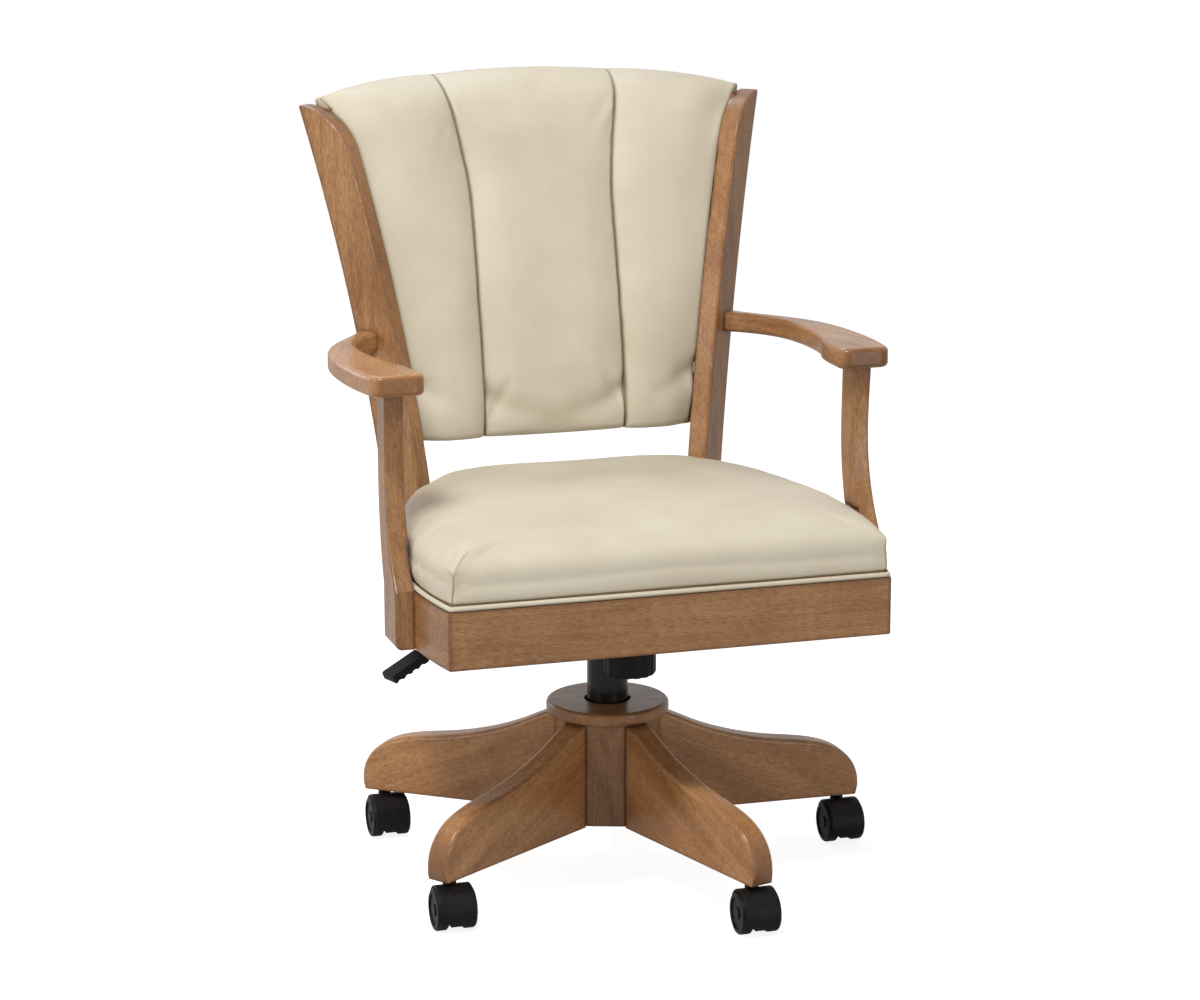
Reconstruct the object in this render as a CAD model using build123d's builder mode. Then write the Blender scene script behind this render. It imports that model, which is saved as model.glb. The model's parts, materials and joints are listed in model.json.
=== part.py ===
"""Swivel desk chair: wooden seat frame, stiles and arms, padded seat, three-channel back,
gas lift, tilt mechanism and a five-leg wooden base on twin-wheel casters.
Millimetres, +Z up, the sitter faces -Y, origin on the floor under the column."""
import os
from math import atan, cos, radians, sin, sqrt
from build123d import *

os.makedirs("parts", exist_ok=True)

# Clearances
RUN_FIT = 0.05
PAD_GAP = 0.4
SEAT_GAP = 0.3

# Casters
WHEEL_R = 25.0
WHEEL_W = 14.5
WHEEL_SIDE_GAP = 1.5
WHEEL_EDGE_R = 3.0
DISH_R = 19.0
DISH_HUB_R = 7.0
DISH_DEPTH = 1.6
AXLE_R = 3.0
AXLE_COVER = 3.5
TRAIL = 15.0
HOOD_T = 2.2
HOOD_CLEAR = 1.2
HOOD_SHORT = 2.5
HOOD_START = 35.0
HOOD_SWEEP = 170.0
WEB_HALF_W = 8.0
WEB_BOTTOM = 9.0
STEM_R = 5.5
STEM_PIN_R = 4.0
STEM_PIN_L = 19.0
STEM_COLLAR_R = 6.5
COLLAR_H = 3.0
COLLAR_GAP = 1.6
SOCKET_WALL = 1.5
SOCKET_L = 38.0
SOCKET_SPARE = 4.0

# Base
LEG_COUNT = 5
FIRST_LEG_ANGLE = -145.6
STEM_CIRCLE_R = 300.0
LEG_T = 30.0
LEG_OVERHANG = 24.0
LEG_END_TOP = 129.5
LEG_TIP_RISE = 14.0
LEG_TOE_IN = 4.0
LEG_EDGE_R = 5.0
TENON_T = 14.0
TENON_L = 20.0
TENON_H = 90.0
TENON_DROP = 21.0
HUB_LEG_APOTHEM = 61.8
HUB_OPEN_APOTHEM = 60.0
HUB_BOTTOM = 60.0
HUB_TOP = 190.0
LEG_TOP_DROP = 1.0
CAP_R = 75.0
CAP_T = 16.0
CAP_CLEAR = 3.5
CAP_EDGE_R = 5.0

# Gas lift
MECH_Z = 300.0
TUBE_R = 25.0
TUBE_T = 1.5
TUBE_BOTTOM = 56.0
TUBE_LIP = 4.0
TUBE_FLOOR_T = 5.0
LIFT_GAP = 7.0
BUSH_L = 48.0
BUSH_RIM = 3.0
ROD_R = 5.0
ROD_FLANGE = 4.0
ROD_FLANGE_T = 3.0
ROD_HEADROOM = 33.0
PISTON_H = 12.0
BEARING_T = 7.0
BEARING_R = 14.0
CLIP_T = 2.0
CLIP_W = 3.5
CYL_R = 14.0
CYL_WALL = 1.8
CYL_BOTTOM = 95.0
CYL_END_T = 10.0
CYL_HEAD_T = 12.0
TAPER_BELOW = 28.0
TAPER_ABOVE = 18.0
TAPER_IN = 0.8
PIN_R = 4.0
PIN_L = 22.7
PIN_RISE = 26.0
PIN_WELL_DEPTH = 21.0

# Tilt mechanism
BOSS_R = 21.0
SHEET_T = 4.0
TONGUE_RISE = 25.0
TONGUE_LIP = 9.0
HOUSING_HALF_W = 40.0
HOUSING_BACK_Y = 42.0
HOUSING_WALL_Y = -58.0
TONGUE_L = 67.0
WALL_H = 52.0
WALL_T = 3.0
STOP_L = 14.0
TILT_Y = 22.0
TILT_RISE = 42.0
TILT_R = 6.0
TILT_END = 3.0
PLATE_RISE = 64.5
PLATE_T = 3.5
PLATE_MARGIN = 20.0
PLATE_END = 25.0
PLATE_CORNER_R = 15.0
PLATE_BOLT_Y = 100.0
FLANGE_GAP = 5.0
FLANGE_T = 3.5
FLANGE_FRONT = 67.0
FLANGE_BACK = 43.0
FLANGE_EYE = 14.0
BOLT_AHEAD = 32.0
BOLT_SLOT_L = 32.0
BOLT_SLOT_W = 12.0
BOLT_SLOT_BACK = 3.0
BOLT_R = 5.0
BOLT_HEAD_ACROSS = 8.5
BOLT_HEAD_T = 6.4
KNOB_R = 31.0
KNOB_DROP = 8.0
KNOB_H = 30.0
KNOB_CUP_R = 23.0
KNOB_CUP_FLOOR = 9.0
KNOB_BLIND = 4.0
KNOB_FLUTES = 14
KNOB_FLUTE_R = 4.0
KNOB_FLUTE_OUT = 2.5
KNOB_CHAMFER = 3.0
SPRING_MEAN_R = 17.0
SPRING_WIRE_R = 2.5
SPRING_TURNS = 4.5
LEVER_R = 4.0
LEVER_BEND_R = 18.0
LEVER_INNER = 8.0
LEVER_BEND_X = 60.0
LEVER_REACH = 243.0
LEVER_FORWARD = 72.0
LEVER_FALL = 24.0
LEVER_GRIP = 40.0
GRIP_OUT = 46.0
GRIP_FORWARD = 15.0
GRIP_FALL = 21.0
PADDLE_L = 52.0
PADDLE_W = 24.0
PADDLE_T = 11.0
PADDLE_START = 10.0
SCALLOP_R = 5.2
SCALLOP_PITCH = 11.0
SCALLOP_DEEP = 1.8

# Seat frame
FRONT_Y = -255.0
REAR_Y = 206.0
SEAT_HALF_W = 280.4
SEAT_WIDEST_Y = -131.2
SIDE_R = 578.7
STILE_TURN = 41.0
CORNER_W = 72.0
STILE_IN = 21.5
APRON_H = 68.5
APRON_DROP = 37.0
APRON_EDGE_R = 2.0
APRON_CORNER_R = 3.0
RAIL_T = 22.0
RAIL_X = 85.0
RAIL_W = 40.0
RAIL_TENON_L = 12.0
RAIL_TENON_T = 8.0
RAIL_TENON_H = 44.0
BLOCK_SHORT = 14.0
BLOCK_LEG = 62.0
BLOCK_T = 30.0
BLOCK_HALF_W = 29.5
BOARD_T = 12.0
BOARD_INSET = 8.0
SEAT_PAD_H = 79.0
WELT_R = 3.25
WELT_INSET = 3.75
BOLT_M6_R = 3.0
BOLT_HEAD_R = 5.0
BOLT_HEAD_H = 4.0
BOLT_EDGE = 19.0
BOLT_IN_STILE = 30.0
BOLT_IN_POST = 16.0
BOLT_IN_RAIL = 24.0

# Back and arms
STILE_T = 25.8
STILE_D = 55.5
STILE_LEAN = 0.1388
STILE_RADIUS = 2535.0
STILE_H = 508.5
STILE_ROUND = 56.0
STILE_EDGE_R = 3.0
BACK_BOW_R = 650.0
BACK_RISE = 93.5
BACK_END = 9.0
BACK_CROWN = 30.0
ARCH_HALF_SPAN = 269.0
BOARD_FRONT = 28.0
BOARD_BACK = 38.0
BOARD_MARGIN = 14.0
BOARD_LET_IN = 6.0
PAD_BACK = 44.0
COVER_BACK = 50.0
COVER_DROP = 2.0
SEAM_X = 92.5
SEAM_FLARE = 24.0
SEAM_FLARE_L = 158.0
ARM_T = 25.0
ARM_RISE = 217.4
ARM_DROP = 0.034
ARM_EDGE_R = 6.0
ARM_NOSE_R = 15.0
ARM_FRONT_Y = -118.0
ARM_BULGE = 47.1
POST_T = 26.0
POST_LET_IN = 3.4
POST_FOOT_W = 55.0
POST_Y = -122.5
POST_RAKE = 44.3
POST_EDGE_R = 3.0
POST_FOOT_R = 8.0
POST_NOTCH = 52.5
POST_BOLT_Y = -124.0

# Heights and places that follow from these
hood_r = WHEEL_R + HOOD_CLEAR + HOOD_T
hood_top = WHEEL_R + hood_r
wheel_inner_x = WEB_HALF_W + WHEEL_SIDE_GAP
hood_half_w = wheel_inner_x + WHEEL_W - HOOD_SHORT
leg_bottom = hood_top + COLLAR_GAP + COLLAR_H
leg_tip_r = STEM_CIRCLE_R + LEG_OVERHANG
leg_top = HUB_TOP - LEG_TOP_DROP
leg_tip_z = leg_bottom + LEG_TIP_RISE
tenon_z1 = leg_top - TENON_DROP
socket_top = leg_bottom + SOCKET_L
socket_r = STEM_R + SOCKET_WALL
taper_z0 = MECH_Z - TAPER_BELOW
taper_z1 = MECH_Z + TAPER_ABOVE
tube_top = taper_z0 - LIFT_GAP - BUSH_RIM
tube_floor_z = TUBE_BOTTOM + TUBE_LIP
tongue_z = MECH_Z + TONGUE_RISE
tongue_y = HOUSING_WALL_Y - TONGUE_L
wall_top = MECH_Z + WALL_H
tilt_z = MECH_Z + TILT_RISE
plate_z = MECH_Z + PLATE_RISE
plate_top = plate_z + PLATE_T
pin_top = MECH_Z + PIN_RISE
pin_well = taper_z1 - PIN_WELL_DEPTH
chamber_top = pin_well - CYL_HEAD_T
rod_top = chamber_top - ROD_HEADROOM
flange_x = HOUSING_HALF_W + FLANGE_GAP
bolt_y = HOUSING_WALL_Y - BOLT_AHEAD
knob_top = MECH_Z - KNOB_DROP
knob_bottom = knob_top - KNOB_H
knob_cup_z = knob_bottom + KNOB_CUP_FLOOR
lever_z = pin_top + LEVER_R
apron_z0 = plate_top - APRON_DROP
apron_z1 = apron_z0 + APRON_H
stile_top = apron_z1 + STILE_H
stile_round_z = stile_top - STILE_ROUND
back_z0 = apron_z1 + BACK_RISE
back_end_z = stile_top + BACK_END
back_crown_z = stile_top + BACK_CROWN
arm_z = apron_z1 + ARM_RISE


def save(part, name):
    part.label = name
    export_step(part, f"parts/{name}.step")


def rims(builder, radius):
    """Circular edges of one radius."""
    return [e for e in builder.edges().filter_by(GeomType.CIRCLE) if abs(e.radius - radius) < 0.01]


def leg_angle(k):
    return FIRST_LEG_ANGLE + 360.0 / LEG_COUNT * k


def stem_point(k):
    a = radians(leg_angle(k))
    return STEM_CIRCLE_R * cos(a), STEM_CIRCLE_R * sin(a)


def facet_corner(a, p, b, q):
    """Meeting point of two upright facets: normals at a and b degrees, p and q from the axis."""
    ca, sa, cb, sb = cos(radians(a)), sin(radians(a)), cos(radians(b)), sin(radians(b))
    det = ca * sb - sa * cb
    return (p * sb - q * sa) / det, (q * ca - p * cb) / det


# Hub with a mortise for each leg
half_step = 180.0 / LEG_COUNT
hub_points = []
for k in range(LEG_COUNT):
    a = leg_angle(k)
    hub_points.append(facet_corner(a - half_step, HUB_OPEN_APOTHEM, a, HUB_LEG_APOTHEM))
    hub_points.append(facet_corner(a, HUB_LEG_APOTHEM, a + half_step, HUB_OPEN_APOTHEM))
with BuildPart() as hub:
    with BuildSketch(Plane.XY.offset(HUB_BOTTOM)):
        with BuildLine():
            Polyline(*hub_points, close=True)
        make_face()
        Circle(TUBE_R, mode=Mode.SUBTRACT)
    extrude(amount=HUB_TOP - HUB_BOTTOM)
    for k in range(LEG_COUNT):
        with BuildSketch(Plane.XY.offset(tenon_z1 - TENON_H).rotated((0, 0, leg_angle(k)))):
            with Locations((HUB_LEG_APOTHEM - TENON_L / 2, 0)):
                Rectangle(TENON_L, TENON_T)
        extrude(amount=TENON_H, mode=Mode.SUBTRACT)
save(hub.part, "base_hub")

# One leg pointing along +X, then its copies. Shares of its length and of its fall along the top line
leg_line = ((0.184, 0.647), (0.375, 0.345), (0.584, 0.151), (0.794, 0.0))
shoulder = (0.931, 0.70)
leg_span = leg_tip_r - HUB_LEG_APOTHEM
leg_tops = [(HUB_LEG_APOTHEM, leg_top)]
for along, fall in leg_line:
    leg_tops.append((HUB_LEG_APOTHEM + along * leg_span, LEG_END_TOP + fall * (leg_top - LEG_END_TOP)))
leg_tops.append((HUB_LEG_APOTHEM + shoulder[0] * leg_span,
                 leg_tip_z + shoulder[1] * (LEG_END_TOP - leg_tip_z)))
leg_tops.append((leg_tip_r, leg_tip_z))
with BuildPart() as leg:
    with BuildSketch(Plane.XZ):
        with BuildLine():
            Polyline((leg_tip_r, leg_tip_z), (leg_tip_r - LEG_TOE_IN, leg_bottom),
                     (HUB_LEG_APOTHEM, leg_bottom), (HUB_LEG_APOTHEM, leg_top))
            Spline(*leg_tops, tangents=[(1, -0.3), (0, -1)])
        make_face()
    extrude(amount=LEG_T / 2, both=True)
    top_edges = [e for e in leg.edges() if abs(abs(e.center().Y) - LEG_T / 2) < 0.01
                 and e.center().Z > leg_tip_z and e.center().X > HUB_LEG_APOTHEM + 1]
    fillet(top_edges, LEG_EDGE_R)
    with BuildSketch(Plane.XY.offset(tenon_z1 - TENON_H)):
        with Locations((HUB_LEG_APOTHEM - TENON_L / 2, 0)):
            Rectangle(TENON_L, TENON_T)
    extrude(amount=TENON_H)
    with Locations((STEM_CIRCLE_R, 0, leg_bottom + SOCKET_L / 2)):
        Cylinder(socket_r, SOCKET_L, mode=Mode.SUBTRACT)
with BuildPart() as legs:
    for k in range(LEG_COUNT):
        add(leg.part, rotation=(0, 0, leg_angle(k)))
save(legs.part, "base_legs")

with BuildPart() as cap:
    with BuildSketch(Plane.XY.offset(HUB_TOP)):
        Circle(CAP_R)
        Circle(TUBE_R + CAP_CLEAR, mode=Mode.SUBTRACT)
    extrude(amount=CAP_T)
    fillet(rims(cap, CAP_R), CAP_EDGE_R)
save(cap.part, "hub_cap")

# Caster sockets and stems
with BuildPart() as sockets:
    for k in range(LEG_COUNT):
        with BuildSketch(Plane.XY.offset(leg_bottom)):
            with Locations(stem_point(k)):
                Circle(socket_r)
                Circle(STEM_R, mode=Mode.SUBTRACT)
        extrude(amount=SOCKET_L)
save(sockets.part, "caster_sockets")

collar_z = leg_bottom - COLLAR_H
with BuildPart() as stems:
    for k in range(LEG_COUNT):
        for radius, z0, z1 in ((STEM_PIN_R, collar_z - STEM_PIN_L, collar_z),
                               (STEM_COLLAR_R, collar_z, leg_bottom),
                               (STEM_R, leg_bottom, socket_top - SOCKET_SPARE)):
            with BuildSketch(Plane.XY.offset(z0)):
                with Locations(stem_point(k)):
                    Circle(radius)
            extrude(amount=z1 - z0)
save(stems.part, "caster_stems")

# One caster with its stem axis at the origin and its axle ahead of it
start = radians(HOOD_START)
hood_plane = Plane(origin=(0, -TRAIL, WHEEL_R), x_dir=(1, 0, 0), z_dir=(0, -sin(start), cos(start)))
with BuildPart() as hood:
    with BuildSketch(hood_plane) as hood_section:
        with Locations((0, hood_r - HOOD_T / 2)):
            Rectangle(2 * hood_half_w, HOOD_T)
        fillet(hood_section.vertices().group_by(Axis.Y)[-1], HOOD_T * 0.7)
    revolve(axis=Axis((0, -TRAIL, WHEEL_R), (1, 0, 0)), revolution_arc=HOOD_SWEEP)
    with BuildSketch(Plane.YZ):
        with Locations((-TRAIL, WHEEL_R)):
            Circle(hood_r - HOOD_T / 2)
        with Locations((-TRAIL, WEB_BOTTOM - hood_r / 2)):
            Rectangle(3 * hood_r, hood_r, mode=Mode.SUBTRACT)
    extrude(amount=WEB_HALF_W, both=True)
    with BuildSketch(Plane.XY.offset(WHEEL_R)):
        Circle(WEB_HALF_W)
    extrude(amount=hood_r)
    with BuildSketch(Plane.XY.offset(collar_z - STEM_PIN_L)):
        Circle(STEM_PIN_R + RUN_FIT)
    extrude(amount=STEM_PIN_L, mode=Mode.SUBTRACT)
    with Locations(Location((0, -TRAIL, WHEEL_R), (0, 90, 0))):
        Cylinder(AXLE_R, 2 * WEB_HALF_W, mode=Mode.SUBTRACT)

axle_reach = wheel_inner_x + WHEEL_W - AXLE_COVER
with BuildPart() as axle:
    with Locations(Location((0, -TRAIL, WHEEL_R), (0, 90, 0))):
        Cylinder(AXLE_R, 2 * axle_reach)

with BuildPart() as wheel:
    with BuildSketch(Plane.YZ.offset(wheel_inner_x)):
        with Locations((-TRAIL, WHEEL_R)):
            Circle(WHEEL_R)
    extrude(amount=WHEEL_W)
    fillet(wheel.edges(), WHEEL_EDGE_R)
    with BuildSketch(Plane.YZ.offset(wheel_inner_x + WHEEL_W)):
        with Locations((-TRAIL, WHEEL_R)):
            Circle(DISH_R)
            Circle(DISH_HUB_R, mode=Mode.SUBTRACT)
    extrude(amount=-DISH_DEPTH, mode=Mode.SUBTRACT)
    with BuildSketch(Plane.YZ.offset(wheel_inner_x)):
        with Locations((-TRAIL, WHEEL_R)):
            Circle(AXLE_R + RUN_FIT)
    extrude(amount=axle_reach + SEAT_GAP - wheel_inner_x, mode=Mode.SUBTRACT)
other_wheel = mirror(wheel.part, about=Plane.YZ)

for k in range(LEG_COUNT):
    spot = Location((*stem_point(k), 0))
    save(hood.part.moved(spot), f"caster_body_{k + 1}")
    save(axle.part.moved(spot), f"caster_axle_{k + 1}")
    save(wheel.part.moved(spot), f"caster_wheel_{k + 1}_left")
    save(other_wheel.moved(spot), f"caster_wheel_{k + 1}_right")

# Gas lift: outer tube, bush, rod on its thrust bearing, pressure cylinder and release pin
with BuildPart() as tube:
    with BuildSketch(Plane.XY.offset(TUBE_BOTTOM)):
        Circle(TUBE_R)
        Circle(TUBE_R - TUBE_T, mode=Mode.SUBTRACT)
    extrude(amount=tube_top - TUBE_BOTTOM)
    with BuildSketch(Plane.XY.offset(tube_floor_z)):
        Circle(TUBE_R - TUBE_T / 2)
        Circle(ROD_R + SEAT_GAP, mode=Mode.SUBTRACT)
    extrude(amount=TUBE_FLOOR_T)
save(tube.part, "lift_tube")

with BuildPart() as bush:
    with BuildSketch(Plane.XY.offset(tube_top - BUSH_L)):
        Circle(TUBE_R - TUBE_T)
    extrude(amount=BUSH_L)
    with BuildSketch(Plane.XY.offset(tube_top)):
        Circle(TUBE_R - SEAT_GAP)
    extrude(amount=BUSH_RIM)
    fillet(bush.edges().group_by(Axis.Z)[-1], BUSH_RIM / 2)
    with BuildSketch(Plane.XY.offset(tube_top - BUSH_L)):
        Circle(CYL_R + RUN_FIT)
    extrude(amount=BUSH_L + BUSH_RIM, mode=Mode.SUBTRACT)
save(bush.part, "guide_bush")

bearing_z = tube_floor_z + TUBE_FLOOR_T
with BuildPart() as bearing:
    with BuildSketch(Plane.XY.offset(bearing_z)):
        Circle(BEARING_R)
        Circle(ROD_R + SEAT_GAP, mode=Mode.SUBTRACT)
    extrude(amount=BEARING_T)
    fillet(rims(bearing, BEARING_R), BEARING_T / 5)
save(bearing.part, "thrust_bearing")

clip_z = tube_floor_z - CLIP_T - SEAT_GAP
with BuildPart() as rod:
    with BuildSketch(Plane.XY.offset(clip_z - CLIP_T)):
        Circle(ROD_R)
    extrude(amount=rod_top - clip_z + CLIP_T)
    with BuildSketch(Plane.XY.offset(bearing_z + BEARING_T + SEAT_GAP)):
        Circle(ROD_R + ROD_FLANGE)
    extrude(amount=ROD_FLANGE_T)
    with BuildSketch(Plane.XY.offset(rod_top - PISTON_H)):
        Circle(CYL_R - CYL_WALL - RUN_FIT)
    extrude(amount=PISTON_H)
save(rod.part, "piston_rod")

with BuildPart() as clip:
    with BuildSketch(Plane.XY.offset(clip_z)):
        Circle(ROD_R + CLIP_W)
        Circle(ROD_R, mode=Mode.SUBTRACT)
        with Locations((0, -ROD_R - CLIP_W / 2)):
            Rectangle(CLIP_T, 2 * CLIP_W, mode=Mode.SUBTRACT)
    extrude(amount=CLIP_T)
save(clip.part, "rod_clip")

taper_top_r = CYL_R - TAPER_IN
chamber_z = CYL_BOTTOM + CYL_END_T
with BuildPart() as cylinder:
    with BuildSketch(Plane.XZ):
        with BuildLine():
            Polyline((0, CYL_BOTTOM), (CYL_R, CYL_BOTTOM), (CYL_R, taper_z0), (taper_top_r, taper_z1),
                     (0, taper_z1), close=True)
        make_face()
    revolve(axis=Axis.Z)
    for radius, z0, z1 in ((ROD_R + RUN_FIT, CYL_BOTTOM, chamber_z),
                           (CYL_R - CYL_WALL, chamber_z, chamber_top),
                           (PIN_R + RUN_FIT, pin_well, taper_z1)):
        with BuildSketch(Plane.XY.offset(z0)):
            Circle(radius)
        extrude(amount=z1 - z0, mode=Mode.SUBTRACT)
save(cylinder.part, "gas_cylinder")

with BuildPart() as pin:
    with BuildSketch(Plane.XY.offset(pin_top - SEAT_GAP - PIN_L)):
        Circle(PIN_R)
    extrude(amount=PIN_L)
    fillet(pin.edges().group_by(Axis.Z)[-1], PIN_R / 4)
save(pin.part, "release_pin")

# Tilt housing: folded channel with a tapered boss, raised front tongue, axle holes and seat stops
fold = 2 * SHEET_T
with BuildPart() as housing:
    with BuildSketch(Plane.YZ):
        with BuildLine():
            Polyline((HOUSING_BACK_Y, MECH_Z), (HOUSING_WALL_Y, MECH_Z), (HOUSING_WALL_Y - fold, tongue_z),
                     (tongue_y, tongue_z), (tongue_y, tongue_z + SHEET_T),
                     (HOUSING_WALL_Y - fold + SHEET_T, tongue_z + SHEET_T),
                     (HOUSING_WALL_Y + SHEET_T, MECH_Z + SHEET_T), (HOUSING_BACK_Y, MECH_Z + SHEET_T),
                     close=True)
        make_face()
    extrude(amount=HOUSING_HALF_W, both=True)
    for side in (-1, 1):
        with BuildSketch(Plane.YZ.offset(side * (HOUSING_HALF_W - WALL_T / 2))):
            with BuildLine():
                Polyline((HOUSING_BACK_Y, MECH_Z), (HOUSING_WALL_Y, MECH_Z),
                         (HOUSING_WALL_Y - fold, tongue_z), (tongue_y, tongue_z),
                         (tongue_y, tongue_z + TONGUE_LIP),
                         (HOUSING_WALL_Y, plate_z - SEAT_GAP), (HOUSING_WALL_Y + STOP_L, plate_z - SEAT_GAP),
                         (HOUSING_WALL_Y + 2 * STOP_L, wall_top), (HOUSING_BACK_Y, wall_top), close=True)
            make_face()
        extrude(amount=WALL_T / 2, both=True)
    with BuildSketch(Plane.XY.offset(taper_z0)):
        Circle(BOSS_R)
    extrude(amount=taper_z1 - taper_z0)
    with BuildSketch(Plane.XZ):
        with BuildLine():
            Polyline((0, taper_z0), (CYL_R, taper_z0), (taper_top_r, taper_z1), (0, taper_z1), close=True)
        make_face()
    revolve(axis=Axis.Z, mode=Mode.SUBTRACT)
    with BuildSketch(Plane.XY.offset(tongue_z)):
        with Locations((0, bolt_y + BOLT_SLOT_BACK)):
            SlotOverall(BOLT_SLOT_L, BOLT_SLOT_W, rotation=90)
    extrude(amount=SHEET_T, mode=Mode.SUBTRACT)
    with Locations(Location((0, TILT_Y, tilt_z), (0, 90, 0))):
        Cylinder(TILT_R, 4 * HOUSING_HALF_W, mode=Mode.SUBTRACT)
    with Locations((-HOUSING_HALF_W, 0, lever_z)):
        Box(4 * WALL_T, 2.5 * LEVER_R, 3.5 * LEVER_R, mode=Mode.SUBTRACT)
save(housing.part, "tilt_housing")

with BuildPart() as tilt_axle:
    with Locations(Location((0, TILT_Y, tilt_z), (0, 90, 0))):
        Cylinder(TILT_R, 2 * (flange_x + FLANGE_T + TILT_END))
    fillet(tilt_axle.edges(), TILT_R / 6)
save(tilt_axle.part, "tilt_axle")

# Tension spring between the tongue and the knob's cup, then its bolt and knob
spring_z0 = knob_cup_z + SEAT_GAP + SPRING_WIRE_R
spring_h = tongue_z - SEAT_GAP - SPRING_WIRE_R - spring_z0
with BuildPart() as spring:
    with BuildLine() as coil:
        Helix(spring_h / SPRING_TURNS, spring_h, SPRING_MEAN_R, center=(0, bolt_y, spring_z0))
    with BuildSketch(Plane(origin=coil.line @ 0, z_dir=coil.line % 0)):
        Circle(SPRING_WIRE_R)
    sweep(path=coil.line)
save(spring.part, "tilt_spring")
coil_points = [coil.line @ (k / 400) for k in range(401)]
half_turn = round(200 / SPRING_TURNS)
coil_gap = min((p - q).length for k, p in enumerate(coil_points) for q in coil_points[k + half_turn:])
print("least gap between the spring's turns:", round(coil_gap - 2 * SPRING_WIRE_R, 2), "mm")

bolt_bottom = knob_cup_z - KNOB_BLIND
with BuildPart() as bolt:
    with BuildSketch(Plane.XY.offset(bolt_bottom)):
        with Locations((0, bolt_y)):
            Circle(BOLT_R)
    extrude(amount=plate_top - bolt_bottom)
    with BuildSketch(Plane.XY.offset(plate_top)):
        with Locations((0, bolt_y)):
            RegularPolygon(BOLT_HEAD_ACROSS, 6, major_radius=False)
    extrude(amount=BOLT_HEAD_T)
save(bolt.part, "tension_bolt")

with BuildPart() as knob:
    with BuildSketch(Plane.XY.offset(knob_bottom)):
        with Locations((0, bolt_y)):
            Circle(KNOB_R)
            with PolarLocations(KNOB_R + KNOB_FLUTE_OUT, KNOB_FLUTES):
                Circle(KNOB_FLUTE_R, mode=Mode.SUBTRACT)
    extrude(amount=KNOB_H)
    chamfer(knob.edges().group_by(Axis.Z)[0], KNOB_CHAMFER)
    with BuildSketch(Plane.XY.offset(knob_cup_z)):
        with Locations((0, bolt_y)):
            Circle(KNOB_CUP_R)
    extrude(amount=knob_top - knob_cup_z, mode=Mode.SUBTRACT)
    with BuildSketch(Plane.XY.offset(bolt_bottom - SEAT_GAP)):
        with Locations((0, bolt_y)):
            Circle(BOLT_R + RUN_FIT)
    extrude(amount=KNOB_BLIND + SEAT_GAP, mode=Mode.SUBTRACT)
save(knob.part, "tension_knob")

# Lift lever: bent rod over the release pin, out under the side rail to a drooping paddle
lever_bend = Vector(-LEVER_BEND_X, 0, lever_z)
lever_out = Vector(-LEVER_REACH, -LEVER_FORWARD, lever_z - LEVER_FALL)
droop = Vector(-GRIP_OUT, -GRIP_FORWARD, -GRIP_FALL).normalized()
with BuildPart() as lever_rod:
    with BuildLine() as lever_path:
        FilletPolyline((LEVER_INNER, 0, lever_z), lever_bend, lever_out, lever_out + droop * LEVER_GRIP,
                       radius=LEVER_BEND_R)
    with BuildSketch(Plane(origin=lever_path.line @ 0, z_dir=lever_path.line % 0)):
        Circle(LEVER_R)
    sweep(path=lever_path.line)
save(lever_rod.part, "lever_rod")

grip_side = droop.cross(Vector(0, 0, 1)).normalized()
grip_plane = Plane(origin=lever_out + droop * PADDLE_START, x_dir=droop, z_dir=grip_side)
with BuildPart() as paddle:
    with BuildSketch(grip_plane) as paddle_side:
        with Locations((PADDLE_L / 2, 0)):
            Rectangle(PADDLE_L, PADDLE_T)
        fillet(paddle_side.vertices(), PADDLE_T / 4)
        with Locations((PADDLE_L / 2 + 2, SCALLOP_DEEP - PADDLE_T / 2 - SCALLOP_R)):
            with GridLocations(SCALLOP_PITCH, 0, 4, 1):
                Circle(SCALLOP_R, mode=Mode.SUBTRACT)
    extrude(amount=PADDLE_W / 2, both=True)
    add(lever_rod.part, mode=Mode.SUBTRACT)
save(paddle.part, "lever_paddle")

# Plan of the seat: straight front and rear, bowed sides, rear corners clipped square to the stiles
turn = radians(STILE_TURN)
out_back = Vector(sin(turn), cos(turn), 0)
out_side = Vector(cos(turn), -sin(turn), 0)
side_centre = Vector(SEAT_HALF_W - SIDE_R, SEAT_WIDEST_Y, 0)


def side_x(y, inset=0):
    """Half width of the plan at y."""
    return side_centre.X + sqrt((SIDE_R - inset) ** 2 - (y - SEAT_WIDEST_Y) ** 2)


clip_y = REAR_Y - CORNER_W * sin(turn)
stile_foot = Vector(side_x(clip_y), clip_y, 0) - out_side * (CORNER_W - STILE_IN)
clip_line = stile_foot.dot(out_back)


def seat_corners(inset):
    """Right-hand corners of the plan drawn in by inset: front, start of the clip, rear."""
    front = Vector(side_x(FRONT_Y + inset, inset), FRONT_Y + inset)
    reach = clip_line - inset - side_centre.dot(out_back)
    clip = side_centre + out_back * reach + out_side * sqrt((SIDE_R - inset) ** 2 - reach**2)
    rear = Vector((clip_line - inset - (REAR_Y - inset) * cos(turn)) / sin(turn), REAR_Y - inset)
    return front, clip, rear


def flip(p):
    return Vector(-p.X, p.Y, p.Z)


def seat_wire(inset):
    front, clip, rear = seat_corners(inset)
    middle = side_centre + (front + clip - side_centre * 2).normalized() * (SIDE_R - inset)
    Line(flip(front), front)
    ThreePointArc(front, middle, clip)
    Line(clip, rear)
    Line(rear, flip(rear))
    Line(flip(rear), flip(clip))
    ThreePointArc(flip(clip), flip(middle), flip(front))


def stile_point(w, s, z=0):
    """Point w behind the right stile's foot and s outward across its thickness."""
    return stile_foot + out_back * w + out_side * s + Vector(0, 0, z)


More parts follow.
